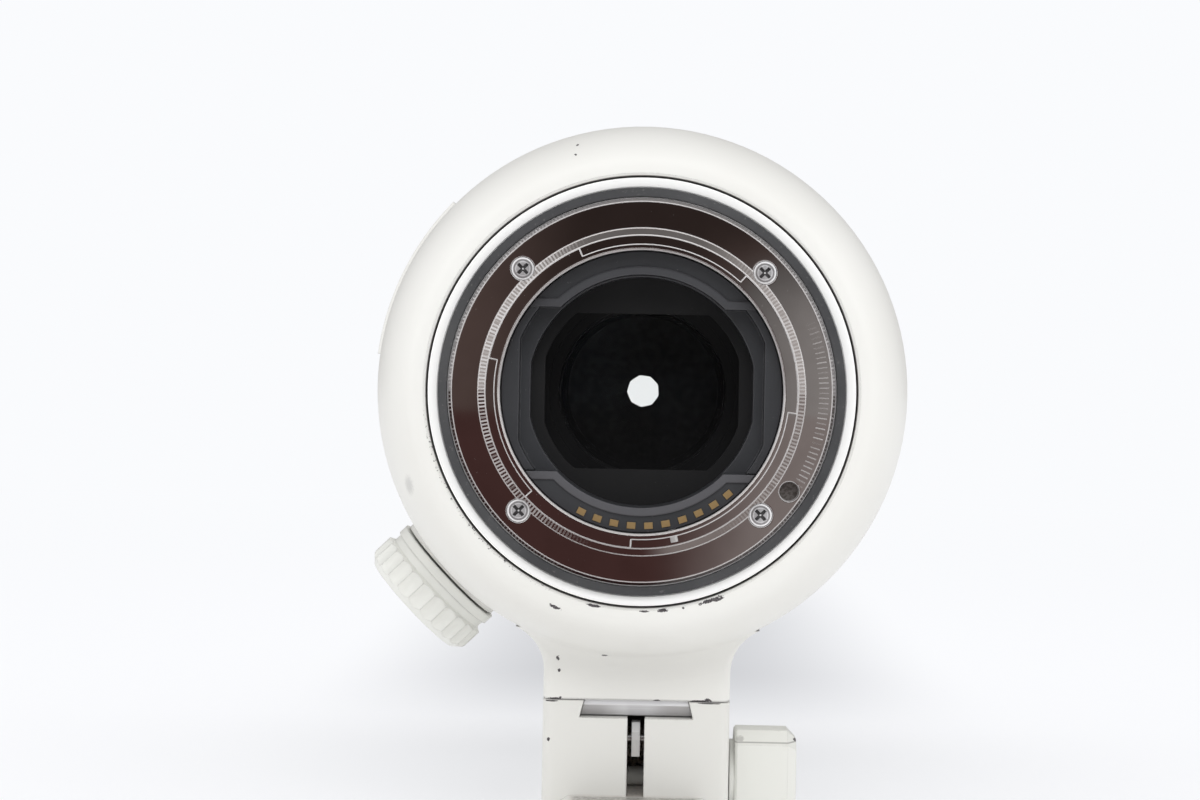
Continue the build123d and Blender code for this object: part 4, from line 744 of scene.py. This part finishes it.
def screwSteel():
    # pan heads: painted reflections as a bright rim, pale crown and centre and a dark ring, and painted shade
    # in the dark cross
    f = newFinish("screwSteel")
    where = f.place()
    x, y, z = f.split(where)
    u = abs(x) * 1000 - screwSet["circle"]
    v = abs(z) * 1000 - screwSet["circle"]
    reach = (u * u + v * v) ** 0.5
    outwards = f.polar(where)[0] * 1000 - screwSet["circle"] * math.sqrt(2)
    sideways = f.most(reach * reach - outwards * outwards, 0.0) ** 0.5
    arm = f.least(abs(outwards), sideways)
    cross = (1 - f.soft(arm, *screwSet["cross"])) * (1 - f.soft(reach, *screwSet["crossEnd"]))
    crown = f.line(reach, *screwSet["crown"]) * screwSet["crownShare"]
    rim = f.most(f.line(reach, *screwSet["rim"]), crown, f.line(reach, *screwSet["middle"]))
    fine = f.noise(where, 2600, 3, 0.6)
    colour = f.varied(fine, *screwSet["tones"])
    # painted reflections and shade: dark ring, near-black cross, bright rim, crown and centre
    colour = f.mix(f.line(reach, *screwSet["darkRing"]) * 0.55, colour, screwSet["darkRingColour"])
    colour = f.mix(cross * 0.85, colour, screwSet["crossShade"])
    colour = f.mix(rim, colour, screwSet["rimHighlight"])
    f.surface({"Base Color": colour, "Metallic": 0.55 - rim * 0.4, "Roughness": 0.22 + (fine - 0.5) * 0.15,
               "Normal": f.bump(0 - reach * reach, screwSet["dome"], 1.0, f.rounded(screwSet["edge"]))})
    return f


def polished(name, look):
    # turned steel with brighter, rougher edges
    f = newFinish(name)
    where = f.place()
    radius, angle, y = f.polar(where)
    blot = f.noise(where, 160, 3)
    smooth = f.rounded(look["edge"])
    lit = f.soft(f.edge(smooth), 0.03, 0.14)
    colour = f.varied(blot, look["colour"], look["shade"], 0.35)
    colour = f.mix(lit, colour, look["bright"])
    rough = look["roughness"] + (blot - 0.5) * 0.05 + lit * 0.15
    f.surface({"Base Color": colour, "Metallic": look["metal"] - lit * 0.3, "Roughness": rough,
               "Normal": f.bump(f.lathe(radius, y, look["rings"]), look["relief"], 0.4, smooth)})
    return f


# painted highlights on the raised lips of the blocks in the bore, in metres; the lower one is painted
# lightest
lipSet = {
    "ring": (0.0171, 0.01842, 0.00006),
    "top": (0.0124, 0.0136, 0.00006),
    "low": (-0.0132, -0.0120, 0.00006),
    "front": (0.0018, 0.00185),
    "turn": (-0.002, 0.002),
    "least": 0.25,
    "rise": 0.6,
}


def lipShare(f, where):
    x, y, z = f.split(where)
    lips = f.most(f.band(f.polar(where)[0], *lipSet["ring"]),
                  f.band(z, *lipSet["top"]), f.band(z, *lipSet["low"]))
    # painted highlight: stronger on the lower lip, as if lit from above
    lower = lipSet["least"] + f.soft(0 - z, *lipSet["turn"]) * lipSet["rise"]
    return lips * f.soft(0 - y, *lipSet["front"]) * lower


dustTone = (0.42, 0.41, 0.4)


def moulded(name, look):
    # matte or satin plastic with a fine spark-eroded grain and a little dust
    f = newFinish(name)
    where = f.place()
    grain = f.noise(where, look["grain"], 3, 0.6)
    dust = f.soft(f.noise(where, 2100, 4, 0.75), 0.68, 0.74)
    smooth = f.rounded(look.get("radius", 0.00012))
    colour = f.varied(f.noise(where, 60, 3), look["colour"], look["shade"])
    colour = f.mix(f.soft(f.edge(smooth), 0.05, 0.35) * look["edgeShare"], colour, look["edge"])
    colour = f.mix(dust * look["dust"], colour, dustTone)
    # painted highlight on the raised lips, for looks that give one
    if "lip" in look:
        colour = f.mix(lipShare(f, where), colour, look["lip"])
    rough = look["roughness"] + (grain - 0.5) * 0.2
    f.surface({"Base Color": colour, "Roughness": rough, "Specular IOR Level": look.get("gloss", 0.5),
               "Normal": f.bump(grain, 0.00002, 0.5, smooth)})
    return f


padSet = {
    "first": 244.3,         # degrees
    "step": 7.42,
    "circle": 0.01985,
    "half": (0.00048, 0.00063),    # along the circle and across it
    "frame": (0.52, 0.66),
    "tones": ((0.36, 0.145, 0.035), (0.22, 0.075, 0.02)),
    "frameColour": (0.60, 0.42, 0.20),
    "roughness": 0.42,
    "relief": 0.00005,
    "edge": 0.00008,
}


def goldPads():
    # each pad has a bright frame round a browner middle
    f = newFinish("goldPads")
    where = f.place()
    radius, angle, y = f.polar(where)
    step = padSet["step"]
    turn = (angle - padSet["first"] + 720 + step / 2) % step - step / 2
    along = abs(turn) * (math.radians(1) * padSet["circle"] / padSet["half"][0])
    across = abs(radius - padSet["circle"]) / padSet["half"][1]
    rim = f.soft(f.most(along, across), *padSet["frame"])
    spots = f.noise(where, 3000, 3)
    colour = f.mix(rim, f.varied(spots, *padSet["tones"]), padSet["frameColour"])
    rough = padSet["roughness"] - rim * 0.1 + (spots - 0.5) * 0.1
    f.surface({"Base Color": colour, "Metallic": 0.6, "Roughness": rough,
               "Normal": f.bump(rim + spots * 0.2, padSet["relief"], 0.6, f.rounded(padSet["edge"]))})
    return f


def rubber(name, look):
    # dull rubber with pale dust in its grain
    f = newFinish(name)
    where = f.place()
    grain = f.noise(where, look["grain"], 4, 0.7)
    dust = f.soft(f.noise(where, 1500, 4, 0.75), 0.6, 0.72)
    colour = f.varied(f.noise(where, 90, 3), look["colour"], look["shade"])
    colour = f.mix(dust * look["dust"], colour, (0.36, 0.35, 0.34))
    f.surface({"Base Color": colour, "Roughness": 0.72 + (grain - 0.5) * 0.2, "Specular IOR Level": 0.35,
               "Normal": f.bump(grain, 0.00003, 0.7, f.rounded(0.0002))})
    return f


plateSet = {
    "stretch": (30, 4000, 4000),
    "tones": ((0.90, 0.90, 0.92), (0.78, 0.78, 0.81)),
    "blot": (0.42, 0.42, 0.43),
    "facetTop": (-0.04915, -0.0490),
    "facetFront": (0.0226, 0.0229),
    "shadedFacet": (0.55, 0.54, 0.55),
    "shineMiddle": -0.0005,
    "shine": (0.001, 0.006),
    "under": (-0.05085, -0.0507),
    "underShadow": (0.06, 0.06, 0.06),
    "roughness": 0.38,
    "metal": 0.1,
    "relief": 0.00001,
    "edge": 0.0002,
}


def brushed():
    # pale brushed plate; its rear facet is painted darker as shade, with a painted highlight down its middle
    # and a painted shadow line along its bottom
    f = newFinish("brushedPlate")
    where = f.place()
    x, y, z = f.split(where)
    stretched = f.node("ShaderNodeMapping", values={"Vector": where, "Scale": plateSet["stretch"]})
    lines = f.noise(stretched, 1.0, 4, 0.7)
    blot = f.soft(f.noise(where, 200, 3), 0.55, 0.75) * 0.3
    shadedFacet = (1 - f.soft(z, *plateSet["facetTop"])) * (1 - f.soft(y, *plateSet["facetFront"]))
    # painted highlight across the middle of the shaded facet
    shine = 1 - f.soft(abs(x - plateSet["shineMiddle"]), *plateSet["shine"])
    colour = f.mix(blot, f.varied(lines, *plateSet["tones"]), plateSet["blot"])
    colour = f.mix(shadedFacet * (1 - shine * 0.8), colour, plateSet["shadedFacet"])
    # painted shadow line at the facet's bottom edge
    colour = f.mix(shadedFacet * (1 - f.soft(z, *plateSet["under"])), colour, plateSet["underShadow"])
    rough = plateSet["roughness"] + (lines - 0.5) * 0.2
    f.surface({"Base Color": colour, "Metallic": plateSet["metal"], "Roughness": rough,
               "Normal": f.bump(lines, plateSet["relief"], 0.5, f.rounded(plateSet["edge"]))})
    return f


glassSet = {
    "clear": (0.997, 0.998, 0.997),
    "coating": (0.40, 0.48, 0.70),
    "coatingShare": 0.0018,
    "grazing": 0.03,
    "dust": (0.8, 0.8, 0.82),
    "dustShare": 0.003,
    "smearShare": 0.004,
    "roughness": 0.05,
}


def glass():
    # clear, with a faint bluish coating, smears and dust
    f = newFinish("coatedGlass")
    smear = f.noise(f.place(), 300, 3)
    facing = f.node("ShaderNodeLayerWeight", values={"Blend": 0.12}, out="Fresnel")
    clear = f.node("ShaderNodeBsdfTransparent", values={"Color": glassSet["clear"]})
    dust = f.node("ShaderNodeBsdfDiffuse", values={"Color": glassSet["dust"]})
    rough = glassSet["roughness"] + smear * 0.05
    shine = f.node("ShaderNodeBsdfPrincipled", values={
        "Base Color": glassSet["coating"], "Metallic": 1.0, "Roughness": rough})
    veiled = f.blend(glassSet["dustShare"] + smear * glassSet["smearShare"], clear, dust)
    f.finish(f.blend(glassSet["coatingShare"] + facing * glassSet["grazing"], veiled, shine))
    return f


def blades():
    # dry black coating with long tone changes
    f = newFinish("bladeCoat")
    where = f.place()
    fine = f.noise(where, 5000, 2)
    colour = f.varied(f.noise(where, 700, 3), (0.016, 0.016, 0.018), (0.03, 0.03, 0.033), 0.35)
    f.surface({"Base Color": colour, "Metallic": 0.4, "Roughness": 0.5 + (fine - 0.5) * 0.2,
               "Normal": f.bump(fine, 0.000005, 0.5)})
    return f


boardSet = {
    "scale": 260.0,
    "gap": 0.03,
    "mask": (0.02, 0.13, 0.06),
    "track": (0.05, 0.24, 0.11),
    "chip": (0.02, 0.02, 0.022),
    "chipFrom": (-0.0389, -0.0387),
}


def board():
    # green solder mask with paler tracks and black chips
    f = newFinish("solderMask")
    where = f.place()
    x, y, z = f.split(where)
    tracks = f.node("ShaderNodeTexBrick", {"offset": 0.5}, {
        "Vector": where, "Scale": boardSet["scale"], "Mortar Size": boardSet["gap"]}, out=1)
    colour = f.mix(tracks, boardSet["mask"], boardSet["track"])
    colour = f.mix(f.soft(0 - y, *boardSet["chipFrom"]), colour, boardSet["chip"])
    f.surface({"Base Color": colour, "Roughness": 0.35 + f.noise(where, 900, 3) * 0.2,
               "Normal": f.bump(tracks, 0.00003, 0.4)})
    return f


steel = polished("brightSteel", {
    "colour": (0.76, 0.76, 0.77), "shade": (0.64, 0.64, 0.66), "bright": (0.82, 0.82, 0.82),
    "roughness": 0.24, "metal": 0.75, "edge": 0.00012, "rings": 5000, "relief": 0.000003})
paleSteel = polished("paleSteel", {
    "colour": (0.80, 0.80, 0.80), "shade": (0.70, 0.70, 0.70), "bright": (0.82, 0.82, 0.82),
    "roughness": 0.34, "metal": 0.35, "edge": 0.00015, "rings": 5000, "relief": 0.000003})
blackAlloy = moulded("blackAnodised", {
    "grain": 4200, "colour": (0.03, 0.03, 0.032), "shade": (0.04, 0.04, 0.042), "edge": (0.3, 0.3, 0.3),
    "edgeShare": 0.25, "dust": 0.2, "roughness": 0.45})
innerPlastic = moulded("innerPlastic", {
    "grain": 3000, "colour": (0.042, 0.044, 0.049), "shade": (0.052, 0.054, 0.06), "edge": (0.13, 0.13, 0.14),
    "edgeShare": 0.8, "dust": 0.45, "roughness": 0.55, "gloss": 0.35, "radius": 0.0003,
    "lip": (0.105, 0.105, 0.115)})
flocked = moulded("flockedBlack", {
    "grain": 6000, "colour": (0.017, 0.017, 0.018), "shade": (0.023, 0.023, 0.024),
    "edge": (0.06, 0.06, 0.062), "edgeShare": 0.5, "dust": 0.12, "roughness": 0.8, "gloss": 0.15})
switchPlastic = moulded("switchPlastic", {
    "grain": 3500, "colour": (0.06, 0.06, 0.063), "shade": (0.075, 0.075, 0.078), "edge": (0.2, 0.2, 0.2),
    "edgeShare": 0.4, "dust": 0.2, "roughness": 0.4})
inkGrey = moulded("inkGrey", {
    "grain": 6000, "colour": (0.045, 0.045, 0.048), "shade": (0.06, 0.06, 0.062), "edge": (0.09, 0.09, 0.09),
    "edgeShare": 0.3, "dust": 0.1, "roughness": 0.5})
sealRubber = rubber("sealRubber", {
    "grain": 3600, "colour": (0.055, 0.056, 0.06), "shade": (0.075, 0.076, 0.08), "dust": 0.35})
gripRubber = rubber("gripRubber", {
    "grain": 2600, "colour": (0.022, 0.022, 0.023), "shade": (0.03, 0.03, 0.031), "dust": 0.15})

dress(["main_barrel", "switch_panel", "button_barrel", "zoom_ring"], cream)
dress(["rear_cover_ring"], ringPaintLit)
dress(["filter_ring"], filterPaint)
dress(["tripod_collar"], collarPaint)
dress(["foot"], footPaintShaded)
dress(["collar_knob", "foot_knob"], knobPaint)
dress(["mount_ring"], mountMetal())
dress(["mount_screws"], screwSteel())
dress(["dovetail_screws", "catch_pin", "collar_clamp_shoe"], steel)
dress(["bayonet_stop_pin", "foot_catch"], paleSteel)
dress(["dovetail_plate"], brushed())
dress(["contact_block", "inner_liner"], innerPlastic)
dress(["rear_baffle", "rear_lens_cell", "focus_cell", "variator_cell", "stabiliser_cell", "stabiliser_yoke",
       "iris_housing", "iris_ring"], flocked)
dress(["front_tube", "rear_barrel", "guide_barrel", "cam_barrel", "focus_ring", "tension_ring"], blackAlloy)
dress(["hold_button_%d" % k for k in (1, 2, 3)], switchPlastic)
dress(["slide_switch_%d" % k for k in (1, 2, 3, 4)], switchPlastic)
dress(["contact_pads"], goldPads())
dress(["mount_seal"], sealRubber)
dress(["focus_grip", "zoom_grip"], gripRubber)
dress(["iris_blade_%d" % k for k in range(1, 10)], blades())
dress(["rear_lenses", "front_lenses", "variator_lenses", "focus_lens", "stabiliser_lens"], glass())
dress(["main_board"], board())
print("finishes: on all CAD nodes")

threadSet = {"crest": 37.8, "root": 38.13, "low": 199.4, "pitch": 0.75, "turns": 6, "half": 0.3, "steps": 72}


def makeThread():
    # the filter thread: one ridge wound round the inside of the front ring; sizes in mm
    bm = bmesh.new()
    low, half = threadSet["low"] + threadSet["half"], threadSet["half"]
    points = [(threadSet["root"], low - half), (threadSet["crest"], low), (threadSet["root"], low + half)]
    corners = [bm.verts.new((r * mm, y * mm, 0)) for r, y in points]
    edges = [bm.edges.new((corners[k], corners[(k + 1) % 3])) for k in range(3)]
    turns, steps = threadSet["turns"], threadSet["steps"]
    bmesh.ops.spin(bm, geom=corners + edges, cent=(0, 0, 0), axis=(0, 1, 0), angle=turns * 2 * math.pi,
                   dvec=(0, threadSet["pitch"] * mm / steps, 0), steps=turns * steps)
    bmesh.ops.holes_fill(bm, edges=[edge for edge in bm.edges if edge.is_boundary], sides=3)
    bmesh.ops.recalc_face_normals(bm, faces=bm.faces)
    addPiece("filterThread", bm, blackAlloy, "front_tube")


# mm and degrees; a bar is its two ends along the lens and its width
markSet = {
    "proud": 0.02,          # above the surface
    "top": 90,
    "scaleTurns": {"100": 90, "200": 120, "300": 145, "400": 165},
    "digit": 2.9,
    "digitLow": 132.6,
    "scaleBar": (130.9, 132.0, 0.35),
    "zoomRadius": 46.2,
    "indexBar": (118.9, 121.5, 0.6),
    "buttonRadius": 45.9,
    "barrelBar": (48.2, 50.8, 0.8),
    "coneStart": (47.2, 42.6),
    "coneSlope": 0.193,
    "switches": (140.5, 149.83, 159.17, 168.5),
    "switchTurn": 2.6,
    "switchBars": ((66.6, 67.5, 0.3), (71.8, 72.7, 0.3)),
    "panelRadius": 45.5,
    "collarTurns": (0, 90, 180),
    "collarBar": (41.9, 44.7, 0.8),
    "collarRadius": 41.35,
}


def wrapped(verts, turn, radiusAt):
    # bends flat work (across, along, up) round the barrel; turn in degrees from +X towards +Z
    for vert in verts:
        across, along, up = vert.co
        r = radiusAt(along / mm) * mm + up
        at = math.radians(turn) - across / r
        vert.co = (r * math.cos(at), along, r * math.sin(at))


def addBar(bm, turn, bar, radiusAt):
    low, high, width = bar
    size = Matrix.Diagonal((width * mm, (high - low) * mm, 2 * markSet["proud"] * mm, 1))
    place = Matrix.Translation((0, (low + high) / 2 * mm, 0))
    made = bmesh.ops.create_cube(bm, size=1.0, matrix=place @ size)
    wrapped(made["verts"], turn, radiusAt)


def addNumber(bm, body, turn, low, radiusAt):
    curve = bpy.data.curves.new("number", "FONT")
    curve.body = body
    curve.size = markSet["digit"] * mm
    curve.align_x = "CENTER"
    curve.extrude = markSet["proud"] * mm
    holder = bpy.data.objects.new("number", curve)
    bpy.context.scene.collection.objects.link(holder)
    mesh = bpy.data.meshes.new_from_object(holder.evaluated_get(bpy.context.evaluated_depsgraph_get()))
    bpy.data.objects.remove(holder)
    before = len(bm.verts)
    bm.from_mesh(mesh)
    bpy.data.meshes.remove(mesh)
    bm.verts.ensure_lookup_table()
    verts = bm.verts[before:]
    bmesh.ops.translate(bm, verts=verts, vec=(0, low * mm, 0))
    wrapped(verts, turn, radiusAt)


def makeMarks():
    bm = bmesh.new()
    for body, turn in markSet["scaleTurns"].items():
        addNumber(bm, body, turn, markSet["digitLow"], lambda y: markSet["zoomRadius"])
        addBar(bm, turn, markSet["scaleBar"], lambda y: markSet["zoomRadius"])
    addPiece("zoomScale", bm, inkGrey, "zoom_ring")
    bm = bmesh.new()
    addBar(bm, markSet["top"], markSet["indexBar"], lambda y: markSet["buttonRadius"])
    start, radius = markSet["coneStart"]
    addBar(bm, markSet["top"], markSet["barrelBar"], lambda y: radius + (y - start) * markSet["coneSlope"])
    for turn in markSet["switches"]:
        for bar in markSet["switchBars"]:
            addBar(bm, turn + markSet["switchTurn"], bar, lambda y: markSet["panelRadius"])
    addPiece("barrelMarks", bm, inkGrey, "barrel")
    bm = bmesh.new()
    for turn in markSet["collarTurns"]:
        addBar(bm, turn, markSet["collarBar"], lambda y: markSet["collarRadius"])
    addPiece("collarMarks", bm, inkGrey, "collar")


makeThread()
makeMarks()
print("extra pieces: thread and marks")
